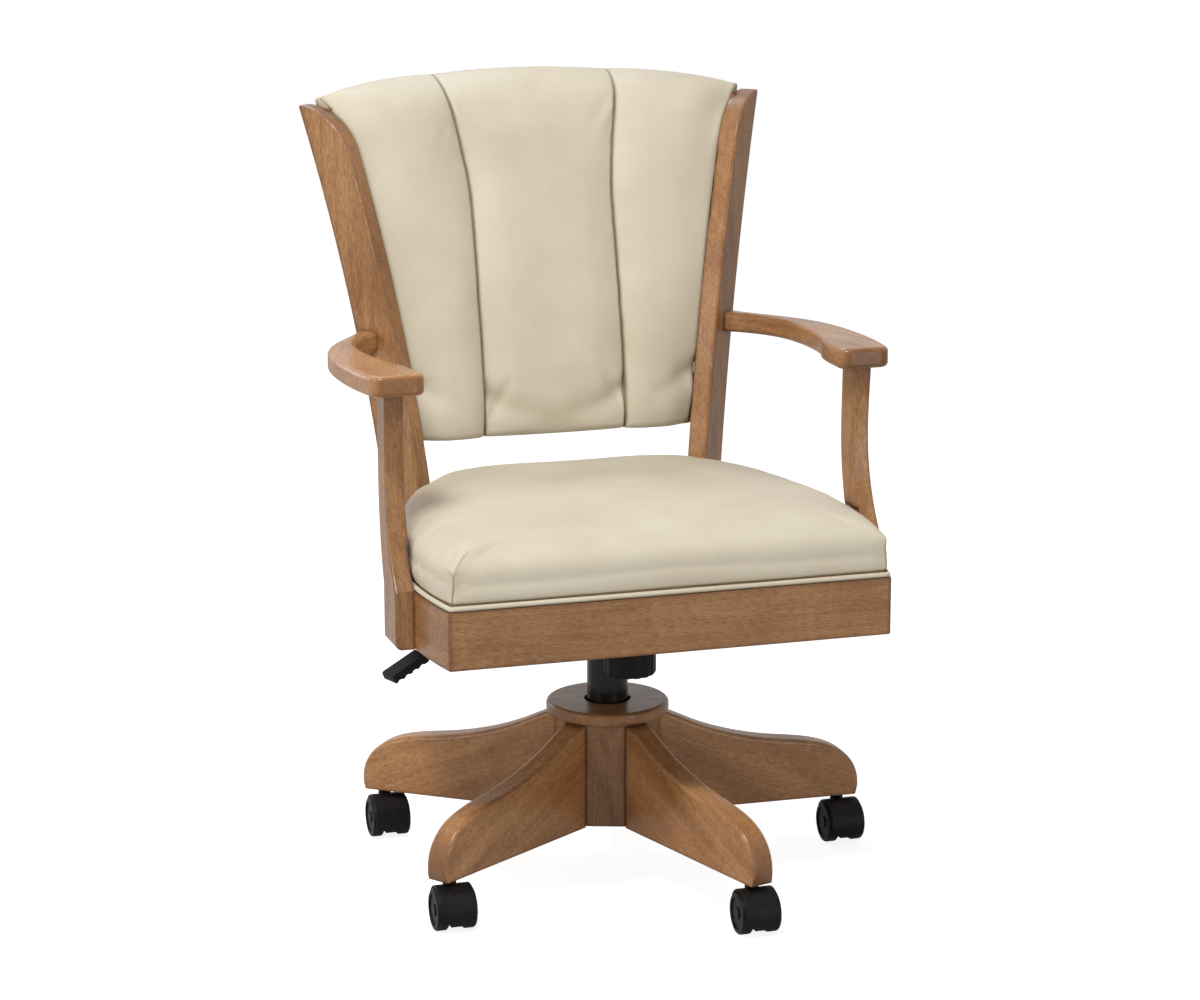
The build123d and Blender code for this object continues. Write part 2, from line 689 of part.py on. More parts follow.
# Bolts that hold the stiles and the arm posts to the frame
with BuildPart() as frame_bolts:
    for side in (-1, 1):
        for z in (apron_z0 + BOLT_EDGE, apron_z1 - BOLT_EDGE):
            p = stile_point(-RAIL_T - BLOCK_T, STILE_T / 2, z)
            axis = out_back
            q = Vector(side_x(POST_BOLT_Y, RAIL_T), POST_BOLT_Y, z)
            away = Vector(1, 0, 0)
            if side < 0:
                p, axis, q, away = flip(p), flip(axis), flip(q), flip(away)
            for seat, direction, length in ((p, axis, RAIL_T + BLOCK_T + BOLT_IN_STILE),
                                            (q, away, RAIL_T + BOLT_IN_POST)):
                with BuildSketch(Plane(origin=seat, z_dir=direction)):
                    Circle(BOLT_M6_R)
                extrude(amount=length)
                with BuildSketch(Plane(origin=seat, z_dir=direction)):
                    Circle(BOLT_HEAD_R)
                extrude(amount=-BOLT_HEAD_H)
save(frame_bolts.part, "frame_bolts")

# Rails: front mitred into the sides, rear tenoned between them
front0, clip0, rear0 = seat_corners(0)
front1, clip1, rear1 = seat_corners(RAIL_T)
mitre_out = front0 * 2 - front1
mitre_in = front1 * 2 - front0
tenon_y = REAR_Y - RAIL_T / 2 - RAIL_TENON_T / 2
rail_mid_z = (apron_z0 + apron_z1) / 2
beyond_y = REAR_Y + RAIL_T
beyond_x = SEAT_HALF_W + RAIL_T


def rail(region):
    """Length of the seat frame inside one region of the plan, with eased outer edges."""
    with BuildPart() as piece:
        with BuildSketch(Plane.XY.offset(apron_z0)) as plan:
            with BuildLine():
                seat_wire(0)
            make_face()
            fillet(plan.vertices().group_by(Axis.Y)[0], APRON_CORNER_R)
        extrude(amount=APRON_H)
        fillet(piece.faces().sort_by(Axis.Z)[0].edges(), APRON_EDGE_R)
        with BuildSketch(Plane.XY.offset(apron_z0)):
            with BuildLine():
                seat_wire(RAIL_T)
            make_face()
        extrude(amount=APRON_H, mode=Mode.SUBTRACT)
        with BuildSketch(Plane.XY.offset(apron_z0)):
            with BuildLine():
                Polyline(*region, close=True)
            make_face()
        extrude(amount=APRON_H, mode=Mode.INTERSECT)
        add(frame_bolts.part, mode=Mode.SUBTRACT)
    return piece.part


front_rail = rail([flip(mitre_out), mitre_out, mitre_in, flip(mitre_in)])
save(front_rail, "front_rail")

with BuildPart() as rear_rail:
    add(rail([(-rear0.X, beyond_y), (rear0.X, beyond_y), (rear0.X, 0), (-rear0.X, 0)]))
    with Locations((0, tenon_y, rail_mid_z)):
        Box(2 * (rear0.X + RAIL_TENON_L), RAIL_TENON_T, RAIL_TENON_H)
save(rear_rail.part, "rear_rail")

with BuildPart() as side_rail:
    add(rail([mitre_out, mitre_in, (rear0.X, 0), (rear0.X, beyond_y), (beyond_x, beyond_y),
              (beyond_x, mitre_out.Y)]))
    with Locations((rear0.X, tenon_y, rail_mid_z)):
        Box(2 * RAIL_TENON_L, RAIL_TENON_T, RAIL_TENON_H, mode=Mode.SUBTRACT)
save(side_rail.part, "side_rail_left")
save(mirror(side_rail.part, about=Plane.YZ), "side_rail_right")

# Bolts of the seat plate, mounting rails and corner blocks
with BuildPart() as plate_bolts:
    with BuildSketch(Plane.XY.offset(plate_z)):
        with GridLocations(2 * RAIL_X, 2 * PLATE_BOLT_Y, 2, 2):
            Circle(BOLT_M6_R)
    extrude(amount=PLATE_T + BOLT_IN_RAIL)
    with BuildSketch(Plane.XY.offset(plate_z - BOLT_HEAD_H)):
        with GridLocations(2 * RAIL_X, 2 * PLATE_BOLT_Y, 2, 2):
            RegularPolygon(BOLT_HEAD_R, 6, major_radius=False)
    extrude(amount=BOLT_HEAD_H)
save(plate_bolts.part, "plate_bolts")

with BuildPart() as mounting_rails:
    for side in (-1, 1):
        with Locations((side * RAIL_X, (front1.Y + rear1.Y) / 2, (plate_top + apron_z1) / 2)):
            Box(RAIL_W, rear1.Y - front1.Y, apron_z1 - plate_top)
    add(plate_bolts.part, mode=Mode.SUBTRACT)
save(mounting_rails.part, "mounting_rails")

block_z = apron_z0 + BLOCK_SHORT
block_front = -RAIL_T - BLOCK_T
with BuildPart() as blocks:
    with BuildSketch(Plane.XY.offset(block_z)) as block_plan:
        for side in (-1, 1):
            near = [front1 + Vector(-BLOCK_LEG, 0), front1 + Vector(RAIL_T, 0),
                    front1 + Vector(RAIL_T, BLOCK_LEG)]
            far = [stile_point(0, STILE_T / 2 - BLOCK_HALF_W), stile_point(0, STILE_T / 2 + BLOCK_HALF_W),
                   stile_point(block_front, STILE_T / 2 + BLOCK_HALF_W),
                   stile_point(block_front, STILE_T / 2 - BLOCK_HALF_W)]
            for corner in (near, far):
                with BuildLine():
                    Polyline(*[p if side > 0 else flip(p) for p in corner], close=True)
                make_face()
        with BuildLine():
            seat_wire(RAIL_T)
        make_face(mode=Mode.INTERSECT)
    extrude(amount=apron_z1 - block_z)
    add(frame_bolts.part, mode=Mode.SUBTRACT)
    add(mounting_rails.part, mode=Mode.SUBTRACT)
save(blocks.part, "corner_blocks")

# Seat plate with the two flanges that hang on the tilt axle
with BuildPart() as plate:
    with BuildSketch(Plane.XY.offset(plate_z)):
        RectangleRounded(2 * (RAIL_X + PLATE_MARGIN), 2 * (PLATE_BOLT_Y + PLATE_END), PLATE_CORNER_R)
    extrude(amount=PLATE_T)
    for side in (-1, 1):
        with BuildSketch(Plane.YZ.offset(side * (flange_x + FLANGE_T / 2))):
            with BuildLine():
                Polyline((TILT_Y - FLANGE_FRONT, plate_z), (TILT_Y - FLANGE_EYE, tilt_z - FLANGE_EYE / 2),
                         (TILT_Y, tilt_z - FLANGE_EYE), (TILT_Y + FLANGE_EYE, tilt_z - FLANGE_EYE / 2),
                         (TILT_Y + FLANGE_BACK, plate_z), close=True)
            make_face()
            with Locations((TILT_Y, tilt_z)):
                Circle(TILT_R + RUN_FIT, mode=Mode.SUBTRACT)
        extrude(amount=FLANGE_T / 2, both=True)
    add(plate_bolts.part, mode=Mode.SUBTRACT)
    add(bolt.part, mode=Mode.SUBTRACT)
save(plate.part, "seat_plate")

# Seat board, crowned cushion and welt cord
with BuildPart() as seat_board:
    with BuildSketch(Plane.XY.offset(apron_z1)):
        with BuildLine():
            seat_wire(BOARD_INSET)
        make_face()
    extrude(amount=BOARD_T)
save(seat_board.part, "seat_board")

# Share of the pad's height at each section, and how far the section is drawn in
pad_foot = 2 * WELT_R + SEAT_GAP
seat_crown = ((0.0, 3.5), (0.30, 1.0), (0.58, 2.5), (0.73, 9.0), (0.84, 22.0), (0.94, 50.0), (1.0, 105.0))
with BuildPart() as seat_cushion:
    for k in (0, 2, 4):
        for share, inset in seat_crown[k:k + 3]:
            with BuildSketch(Plane.XY.offset(apron_z1 + pad_foot + share * (SEAT_PAD_H - pad_foot))):
                with BuildLine():
                    seat_wire(inset)
                make_face()
        loft()
    add(seat_board.part, mode=Mode.SUBTRACT)
save(seat_cushion.part, "seat_cushion")

with BuildPart() as welt:
    with BuildLine() as welt_line:
        seat_wire(WELT_INSET)
    for edge in welt_line.line.moved(Location((0, 0, apron_z1 + WELT_R))).edges():
        with BuildSketch(Plane(origin=edge @ 0, z_dir=edge % 0)):
            Circle(WELT_R)
        sweep(path=edge)
        with Locations(edge @ 0):
            Sphere(WELT_R)
save(welt.part, "seat_welt")

# Back: lean of the stiles, then board, channelled cushion and outside cover between them
lean = atan(STILE_LEAN)
lean_cw = STILE_RADIUS * cos(lean)
lean_cz = apron_z1 - STILE_RADIUS * sin(lean)


def stile_front(z):
    """Distance of the stile's front edge behind its foot at height z."""
    return lean_cw - sqrt(STILE_RADIUS**2 - (z - lean_cz) ** 2)


def back_edge(z, depth, let_in=0):
    """Point on the right stile's inner face, depth behind its front edge."""
    return stile_point(stile_front(z) + depth, let_in, z)


def bow(x, edge):
    """Point of the bowed back at x, level with an edge point."""
    return Vector(x, edge.Y + (edge.X**2 - x**2) / (2 * BACK_BOW_R), edge.Z)


def flat(p):
    return Vector(p.X, p.Y)


def bowed_panel(depth0, depth1, let_in, foot_z):
    """Panel of even thickness between the stiles, from its foot to above the arched top."""
    with BuildPart() as panel:
        for k in range(4):
            z = foot_z + (back_crown_z + BACK_END - foot_z) * k / 3
            e0, e1 = back_edge(z, depth0, let_in), back_edge(z, depth1, let_in)
            with BuildSketch(Plane.XY.offset(z)):
                with BuildLine():
                    ThreePointArc(flat(flip(e0)), flat(bow(0, e0)), flat(e0))
                    Line(flat(e0), flat(e1))
                    ThreePointArc(flat(e1), flat(bow(0, e1)), flat(flip(e1)))
                    Line(flat(flip(e1)), flat(flip(e0)))
                make_face()
        loft()
    return panel.part


arch_half = 1.25 * ARCH_HALF_SPAN
arch_r = ARCH_HALF_SPAN**2 / (2 * (back_crown_z - back_end_z))


def above_arch(drop):
    """Block over the arched top line of the back, lowered by drop."""
    end = back_crown_z - drop - arch_half**2 / (2 * arch_r)
    with BuildPart() as block:
        with BuildSketch(Plane.XZ):
            with BuildLine():
                ThreePointArc((-arch_half, end), (0, back_crown_z - drop), (arch_half, end))
                Polyline((arch_half, end), (arch_half, back_crown_z + arch_half),
                         (-arch_half, back_crown_z + arch_half), (-arch_half, end))
            make_face()
        extrude(amount=2 * arch_half, both=True)
    return block.part


with BuildPart() as back_board:
    add(bowed_panel(BOARD_FRONT, BOARD_BACK, BOARD_LET_IN, back_z0 + BOARD_MARGIN))
    add(above_arch(BOARD_MARGIN), mode=Mode.SUBTRACT)
save(back_board.part, "back_board")

pocket_margin = BOARD_MARGIN - PAD_GAP
with BuildPart() as board_pocket:
    add(bowed_panel(BOARD_FRONT - PAD_GAP, BOARD_BACK + PAD_GAP, BOARD_LET_IN, back_z0 + pocket_margin))
    add(above_arch(pocket_margin), mode=Mode.SUBTRACT)

with BuildPart() as back_cover:
    add(bowed_panel(PAD_BACK + PAD_GAP, COVER_BACK, 0, back_z0))
    add(above_arch(COVER_DROP), mode=Mode.SUBTRACT)
save(back_cover.part, "back_cover")

# Height, depth of the pad's edge, of its sewn seams and rise of the channels between them
pad_levels = ((back_z0, 9, 1, 4), (back_z0 + 13, 3, -10, 8), (back_z0 + 37, 2, -13, 10),
              ((back_z0 + back_crown_z) / 2, 2, -13, 11), (back_crown_z - 88, 3, -12, 10),
              (back_crown_z - 64, 8, -6, 8), (back_crown_z - 42, 19, 5, 6), (back_crown_z - 23, 34, 17, 4),
              (back_crown_z + 4, 43, 38, 2))
with BuildPart() as back_cushion:
    for k in (0, 2, 4, 6):
        for z, edge_depth, seam_depth, crown in pad_levels[k:k + 3]:
            e, e0, e1 = back_edge(z, 0), back_edge(z, edge_depth), back_edge(z, PAD_BACK)
            flare = max(0, (z - back_crown_z + SEAM_FLARE_L) / SEAM_FLARE_L)
            seam = flat(bow(SEAM_X + SEAM_FLARE * flare**1.5, e)) + Vector(0, seam_depth)
            middle = (seam + flat(e0)) / 2 + Vector(0, -crown)
            centre = Vector(0, seam.Y - crown)
            with BuildSketch(Plane.XY.offset(z)):
                with BuildLine():
                    Line(flat(flip(e1)), flat(flip(e0)))
                    ThreePointArc(flat(flip(e0)), flip(middle), flip(seam))
                    ThreePointArc(flip(seam), centre, seam)
                    ThreePointArc(seam, middle, flat(e0))
                    Line(flat(e0), flat(e1))
                    ThreePointArc(flat(e1), flat(bow(0, e1)), flat(flip(e1)))
                make_face()
        loft()
    add(above_arch(0), mode=Mode.SUBTRACT)
    add(board_pocket.part, mode=Mode.SUBTRACT)
save(back_cushion.part, "back_cushion")

# Stile: leaning plank toed in at the seat's rear corner, its top front corner rounded right over
stile_plane = Plane(origin=stile_foot, x_dir=out_back, z_dir=out_side)
top_w = stile_front(stile_top) + STILE_D
round_w = stile_front(stile_round_z)
mid_z = (apron_z1 + stile_round_z) / 2
lean_at_round = (stile_round_z - lean_cz) / STILE_RADIUS


def on_stile_front(edge):
    """Long front edges above the seat, the rounded top corner included."""
    c = edge.position_at(0.5)
    w = (c - stile_foot).dot(out_back)
    along = abs((edge @ 1 - edge @ 0).dot(out_side)) < 0.1
    return along and c.Z > apron_z1 + 5 and w < stile_front(c.Z) + STILE_D - 5


with BuildPart() as stile:
    with BuildSketch(stile_plane):
        with BuildLine():
            Polyline((STILE_D, apron_z1), (STILE_D, apron_z0), (0, apron_z0), (0, apron_z1))
            ThreePointArc((0, apron_z1), (stile_front(mid_z), mid_z), (round_w, stile_round_z))
            TangentArc((round_w, stile_round_z), (top_w, stile_top),
                       tangent=(lean_at_round, sqrt(1 - lean_at_round**2)))
            ThreePointArc((top_w, stile_top), (stile_front(mid_z) + STILE_D, mid_z), (STILE_D, apron_z1))
        make_face()
    extrude(amount=STILE_T)
    fillet([e for e in stile.edges() if on_stile_front(e)], STILE_EDGE_R)
    add(board_pocket.part, mode=Mode.SUBTRACT)
    add(frame_bolts.part, mode=Mode.SUBTRACT)
save(stile.part, "stile_left")
save(mirror(stile.part, about=Plane.YZ), "stile_right")

# Arms: bowed boards that drop a little to the rear and butt the stiles' outer faces.
# Outline by shares of its bulge beyond the seat's widest line and of its run from the nose to the stile
arm_w = stile_front(arm_z)
arm_heel = flat(stile_point(arm_w + 0.427 * STILE_D, 0))
arm_run = arm_heel.Y - ARM_FRONT_Y
arm_outer = [(SEAT_HALF_W + out * ARM_BULGE, ARM_FRONT_Y + back * arm_run)
             for out, back in ((0.756, 0), (1, 0.372), (0.565, 0.721))]
arm_outer += [flat(stile_point(arm_w + 0.786 * STILE_D, 2.3 * STILE_T)),
              flat(stile_point(arm_w + 1.135 * STILE_D, 0.566 * STILE_T))]
arm_inner = [arm_heel]
arm_inner += [(SEAT_HALF_W + out * ARM_BULGE, ARM_FRONT_Y + back * arm_run)
              for out, back in ((-0.39, 0.832), (-0.03, 0.567), (-0.263, 0.288), (-0.582, 0))]
arm_plane = Plane(origin=(0, 0, arm_z), x_dir=(1, 0, 0), z_dir=(0, ARM_DROP, 1))
with BuildPart() as arm:
    with BuildSketch(arm_plane) as arm_plan:
        with BuildLine():
            Spline(*arm_outer, tangents=[(0.2, 1), (-0.4, 1)])
            Line(arm_outer[-1], arm_inner[0])
            Spline(*arm_inner, tangents=[(0.9, -0.5), (-0.05, -1)])
            Line(arm_inner[-1], arm_outer[0])
        make_face()
        fillet(arm_plan.vertices().group_by(Axis.Y)[0], ARM_NOSE_R)
    extrude(amount=ARM_T)
    for side in (0, -1):
        fillet(arm.faces().sort_by(Axis.Z)[side].edges().sort_by(Axis.Y)[:-1], ARM_EDGE_R)
    with BuildSketch(Plane(origin=stile_point(0, STILE_T, arm_z), x_dir=out_back, z_dir=out_side)):
        Rectangle(4 * REAR_Y, 12 * ARM_T)
    extrude(amount=-8 * STILE_T, mode=Mode.SUBTRACT)
save(arm.part, "arm_left")
save(mirror(arm.part, about=Plane.YZ), "arm_right")

# Shares of the post's height, thickness, foot width and rake at each section
post_sections = ((0.0, 1.0, 1.0, 0.0), (0.166, 0.962, 0.764, 0.508), (0.415, 0.885, 0.673, 0.926),
                 (0.662, 0.865, 0.664, 1.0), (1.0, 0.885, 0.764, 0.937))
post_x = SEAT_HALF_W - POST_LET_IN
post_out = post_x + POST_T
with BuildPart() as post:
    with BuildSketch(Plane.XY.offset(apron_z0)):
        with Locations((post_x + POST_T / 2, POST_Y)):
            RectangleRounded(POST_T, POST_FOOT_W, POST_EDGE_R)
    extrude(amount=APRON_H)
    for rise, thick, wide, back in post_sections:
        with BuildSketch(Plane.XY.offset(apron_z1 + rise * (ARM_RISE + ARM_T))):
            with Locations((post_x + thick * POST_T / 2, POST_Y + back * POST_RAKE)):
                RectangleRounded(thick * POST_T, wide * POST_FOOT_W, POST_EDGE_R)
    loft()
    with BuildSketch(Plane.XZ):
        with Locations((post_out - POST_FOOT_R / 2, apron_z0 + POST_FOOT_R / 2)):
            Rectangle(POST_FOOT_R, POST_FOOT_R)
        with Locations((post_out - POST_FOOT_R, apron_z0 + POST_FOOT_R)):
            Circle(POST_FOOT_R, mode=Mode.SUBTRACT)
    extrude(amount=SEAT_HALF_W, both=True, mode=Mode.SUBTRACT)
    with BuildSketch(Plane.XY.offset(apron_z0)):
        with BuildLine():
            seat_wire(0)
        make_face()
    extrude(amount=APRON_H + POST_NOTCH, mode=Mode.SUBTRACT)
    split(bisect_by=arm_plane, keep=Keep.BOTTOM)
    add(frame_bolts.part, mode=Mode.SUBTRACT)
save(post.part, "arm_post_left")
save(mirror(post.part, about=Plane.YZ), "arm_post_right")
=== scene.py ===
import json
import math

import bpy
import numpy as np
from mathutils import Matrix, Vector, noise


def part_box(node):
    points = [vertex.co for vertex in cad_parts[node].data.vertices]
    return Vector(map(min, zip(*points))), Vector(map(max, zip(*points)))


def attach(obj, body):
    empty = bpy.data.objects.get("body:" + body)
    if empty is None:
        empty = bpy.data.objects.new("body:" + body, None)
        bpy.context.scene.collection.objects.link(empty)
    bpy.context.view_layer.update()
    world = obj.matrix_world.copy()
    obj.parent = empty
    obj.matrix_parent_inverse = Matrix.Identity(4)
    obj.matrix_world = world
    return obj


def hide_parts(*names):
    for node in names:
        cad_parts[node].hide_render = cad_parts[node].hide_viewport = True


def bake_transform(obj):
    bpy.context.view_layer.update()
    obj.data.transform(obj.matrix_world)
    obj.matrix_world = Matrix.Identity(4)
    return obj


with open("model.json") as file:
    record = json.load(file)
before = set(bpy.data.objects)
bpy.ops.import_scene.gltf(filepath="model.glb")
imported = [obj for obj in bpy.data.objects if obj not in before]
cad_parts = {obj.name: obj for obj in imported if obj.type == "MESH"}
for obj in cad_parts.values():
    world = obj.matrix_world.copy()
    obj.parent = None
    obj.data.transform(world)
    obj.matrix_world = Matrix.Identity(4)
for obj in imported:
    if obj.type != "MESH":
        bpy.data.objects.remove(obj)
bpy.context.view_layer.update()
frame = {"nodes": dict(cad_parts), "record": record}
nodes = frame["nodes"]
scene = bpy.context.scene
scene.view_settings.view_transform = "Standard"

# Sizes shared with the solids, in metres: plan of the seat, with the bowed side's centre and radius
FRONT_Y, REAR_Y = -0.255, 0.206
SIDE_C, SIDE_R = np.array((-0.2983, -0.1312)), 0.5787
STILE_TURN = math.radians(41.0)
OUT_BACK = np.array((math.sin(STILE_TURN), math.cos(STILE_TURN)))
OUT_SIDE = np.array((math.cos(STILE_TURN), -math.sin(STILE_TURN)))
STILE_FOOT = np.array((0.1644, 0.1919))
APRON_TOP = 0.3995
WELT_R, WELT_INSET = 0.00325, 0.00375

# The same for the back: the stiles' lean, the bow between them, the arched top and the two seams
STILE_LEAN, STILE_RADIUS = 0.1388, 2.535
STILE_TOP, STILE_ROUND, STILE_D = 0.908, 0.056, 0.0555
BACK_BOW_R = 0.65
BACK_Z0, BACK_END_Z, BACK_CROWN_Z = 0.493, 0.917, 0.938
ARCH_HALF_SPAN = 0.269
PAD_BACK, COVER_BACK = 0.044, 0.050
SEAM_X, SEAM_FLARE, SEAM_FLARE_Z = 0.0925, 0.024, 0.780

# The same for the base and the tilt spring
BASE_TURN, LEG_COUNT = -145.6, 5
SPRING_MEAN_R, SPRING_WIRE_R, SPRING_TURNS, SPRING_Y = 0.017, 0.0025, 4.5, -0.090


def srgb(r, g, b):
    """Linear colour of an sRGB triple."""
    shares = (r / 255, g / 255, b / 255)
    return tuple((c / 12.92 if c <= 0.04045 else ((c + 0.055) / 1.055) ** 2.4) for c in shares)


# Colours of the wood and the leather. The crease and seam colours are painted shade; the wood's crease
# colour also stands for stain gathered in its joints
WOOD_DARK, WOOD_MID, WOOD_LIGHT = srgb(136, 93, 56), srgb(165, 119, 76), srgb(183, 138, 93)
WOOD_STREAK, WOOD_CURL, WOOD_KNOT = srgb(122, 79, 44), srgb(192, 149, 104), srgb(122, 78, 44)
WOOD_PORE, WOOD_PALE_PORE = srgb(102, 63, 33), srgb(198, 156, 110)
WOOD_CREASE_SHADE, WOOD_EDGE, WOOD_END = srgb(58, 34, 18), srgb(92, 56, 30), srgb(88, 53, 28)
LEATHER_DARK, LEATHER_LIGHT = srgb(209, 198, 176), srgb(219, 210, 190)
LEATHER_PORE, LEATHER_SEAM_SHADE, LEATHER_CREASE_SHADE = srgb(186, 170, 139), srgb(112, 98, 70), srgb(120, 106, 78)
WHITE = (1, 1, 1)

# Cloth simulation of the pads, and the furthest that it may move a point
CLOTH_FRAMES, CLOTH_PRESSURE, CLOTH_MOST = 20, 4.0, 0.0035


# Mesh helpers
def mesh_object(name, verts, faces):
    mesh = bpy.data.meshes.new(name)
    mesh.from_pydata([tuple(v) for v in verts], [], [tuple(int(i) for i in f) for f in faces])
    mesh.update()
    obj = bpy.data.objects.new(name, mesh)
    scene.collection.objects.link(obj)
    for p in mesh.polygons:
        p.use_smooth = True
    return obj


def grid_faces(rows, cols, wrap=False, base=0):
    """Quads of a grid of points stored row by row."""
    out = []
    for r in range(rows - 1):
        for c in range(cols if wrap else cols - 1):
            d = (c + 1) % cols
            a = base + r * cols
            b = a + cols
            out.append((a + c, a + d, b + d, b + c))
    return out


def grid_rim(rows, cols):
    """Row and column of the points round the edge of a grid, in order."""
    rim = [(r, 0) for r in range(rows)] + [(rows - 1, c) for c in range(1, cols)]
    return rim + [(r, cols - 1) for r in range(rows - 2, -1, -1)] + [(0, c) for c in range(cols - 2, 0, -1)]


def bridge_faces(a, b):
    """Quads between two closed loops of point numbers."""
    n = len(a)
    return [(a[k], b[k], b[(k + 1) % n], a[(k + 1) % n]) for k in range(n)]


def coords(obj):
    co = np.zeros(len(obj.data.vertices) * 3)
    obj.data.vertices.foreach_get("co", co)
    return co.reshape(-1, 3)


def set_coords(obj, co):
    obj.data.vertices.foreach_set("co", np.ascontiguousarray(co, dtype=np.float32).ravel())
    obj.data.update()


def puff(obj, pinned):
    """Swells a pad with a cloth simulation, with some points held and the others kept near their start."""
    start = coords(obj)
    group = obj.vertex_groups.new(name="held")
    group.add([int(i) for i in np.nonzero(pinned)[0]], 1.0, "ADD")
    mod = obj.modifiers.new("swell", "CLOTH")
    s = mod.settings
    s.quality = 5
    s.mass = 0.4
    s.tension_stiffness = 25
    s.compression_stiffness = 25
    s.shear_stiffness = 12
    s.bending_stiffness = 1.5
    s.use_pressure = True
    s.uniform_pressure_force = CLOTH_PRESSURE
    s.vertex_group_mass = "held"
    s.effector_weights.gravity = 0
    mod.collision_settings.use_collision = False
    mod.point_cache.frame_start, mod.point_cache.frame_end = 1, CLOTH_FRAMES
    for f in range(1, CLOTH_FRAMES + 1):
        scene.frame_set(f)
    seen = obj.evaluated_get(bpy.context.evaluated_depsgraph_get())
    end = np.zeros(len(seen.data.vertices) * 3)
    seen.data.vertices.foreach_get("co", end)
    end = end.reshape(-1, 3)
    obj.modifiers.remove(mod)
    obj.vertex_groups.clear()
    scene.frame_set(1)
    move = end - start
    length = np.linalg.norm(move, axis=1, keepdims=True)
    move *= np.minimum(1.0, CLOTH_MOST / np.maximum(length, 1e-9))
    set_coords(obj, start + move)


def paint_seam_shade(obj, value):
    """Stores how much painted shade each point gets in and beside the seams, 0 to 1, for the leather's
    colour.
    """
    attr = obj.data.attributes.new("seam_shade", "FLOAT", "POINT")
    attr.data.foreach_set("value", np.ascontiguousarray(value, dtype=np.float32))


def subdivide(obj):
    """Rounds a mesh off with one step of subdivision."""
    mod = obj.modifiers.new("smooth", "SUBSURF")
    mod.levels = mod.render_levels = 1


def bell(distance, width):
    """1 at no distance, and falling off smoothly over a width."""
    return np.exp(-0.5 * (distance / width) ** 2)


def fade_in(distance, length):
    """0 up to no distance, rising to 1 over a length."""
    return np.clip(distance / length, 0, 1)


def waves(co, *fields):
    """Sum of smooth noises at each point. A field has a scale for each axis, a seed and a height."""

    def wave(scale, seed):
        places = (co * scale + (seed, -seed, 0)).tolist()
        return np.array([noise.noise(Vector(p)) for p in places])

    return sum(wave(scale, seed) * height for scale, seed, height in fields)


# Shader helpers, with the socket numbers of the colour mix node
MIX_FACTOR, MIX_A, MIX_B, MIX_RESULT = 0, 6, 7, 2


class Nodes:
    """Short way to add nodes to a tree."""

    def __init__(self, tree):
        self.tree = tree
        tree.nodes.clear()

    def feed(self, socket, value):
        """Links a socket, or sets it to a number, a vector or a colour."""
        if isinstance(value, bpy.types.NodeSocket):
            self.tree.links.new(value, socket)
        elif socket.type == "RGBA":
            socket.default_value = (*value, 1)
        else:
            socket.default_value = value

    def node(self, kind, inputs=None, **settings):
        """New node with its settings, and its inputs by name or number."""
        n = self.tree.nodes.new(kind)
        for key, value in settings.items():
            setattr(n, key, value)
        for key, value in (inputs or {}).items():
            self.feed(n.inputs[key], value)
        return n

    def maths(self, operation, *values):
        return self.node("ShaderNodeMath", dict(enumerate(values)), operation=operation).outputs[0]

    def vectors(self, operation, a, b):
        return self.node("ShaderNodeVectorMath", {0: a, 1: b}, operation=operation)


class Surface(Nodes):
    """A material with one principled shader."""

    def __init__(self, name):
        self.material = bpy.data.materials.new(name)
        self.material.use_nodes = True
        super().__init__(self.material.node_tree)
        self.shader = self.node("ShaderNodeBsdfPrincipled")
        self.node("ShaderNodeOutputMaterial", {"Surface": self.shader.outputs[0]})

    def finish(self, inputs):
        """Feeds the shader and returns the material."""
        for key, value in inputs.items():
            self.feed(self.shader.inputs[key], value)
        return self.material

    def place(self):
        return self.node("ShaderNodeTexCoord").outputs["Object"]

    def facing(self):
        return self.node("ShaderNodeNewGeometry").outputs["Normal"]

    def attribute(self, name, kind="Vector"):
        return self.node("ShaderNodeAttribute", attribute_name=name).outputs[kind]

    def stretch(self, vector, scale):
        return self.node("ShaderNodeMapping", {"Vector": vector, "Scale": scale}).outputs[0]

    def noise(self, vector, scale, detail=2.0, rough=0.5, distort=0.0):
        inputs = {"Vector": vector, "Scale": scale, "Detail": detail, "Roughness": rough,
                  "Distortion": distort}
        return self.node("ShaderNodeTexNoise", inputs).outputs[0]

    def ramp(self, fac, *stops):
        """Colour ramp, each stop with its place and colour."""
        n = self.node("ShaderNodeValToRGB", {0: fac})
        elements = n.color_ramp.elements
        while len(elements) < len(stops):
            elements.new(0.5)
        for e, (place, colour) in zip(elements, stops):
            e.position = place
            e.color = (*colour, 1)
        return n.outputs[0]

    def levels(self, fac, start, end, low, high):
        """Number that goes from low to high as fac goes from start to end."""
        inputs = {"Value": fac, "From Min": start, "From Max": end, "To Min": low, "To Max": high}
        return self.node("ShaderNodeMapRange", inputs, clamp=True).outputs[0]

    def mix(self, fac, a, b, blend="MIX"):
        inputs = {MIX_FACTOR: fac, MIX_A: a, MIX_B: b}
        return self.node("ShaderNodeMix", inputs, data_type="RGBA", blend_type=blend).outputs[MIX_RESULT]

    def bump(self, height, strength, distance, normal=None):
        inputs = {"Height": height, "Strength": strength, "Distance": distance}
        if normal is not None:
            inputs["Normal"] = normal
        return self.node("ShaderNodeBump", inputs).outputs[0]

    def rounded(self, radius):
        """Normal with the edges eased over a radius."""
        return self.node("ShaderNodeBevel", {"Radius": radius}, samples=6).outputs[0]

    def openness(self, reach):
        """1 on an open surface, falling towards 0 in creases: the mask for painted shade in creases."""
        return self.node("ShaderNodeAmbientOcclusion", {"Distance": reach}, samples=4).outputs["AO"]


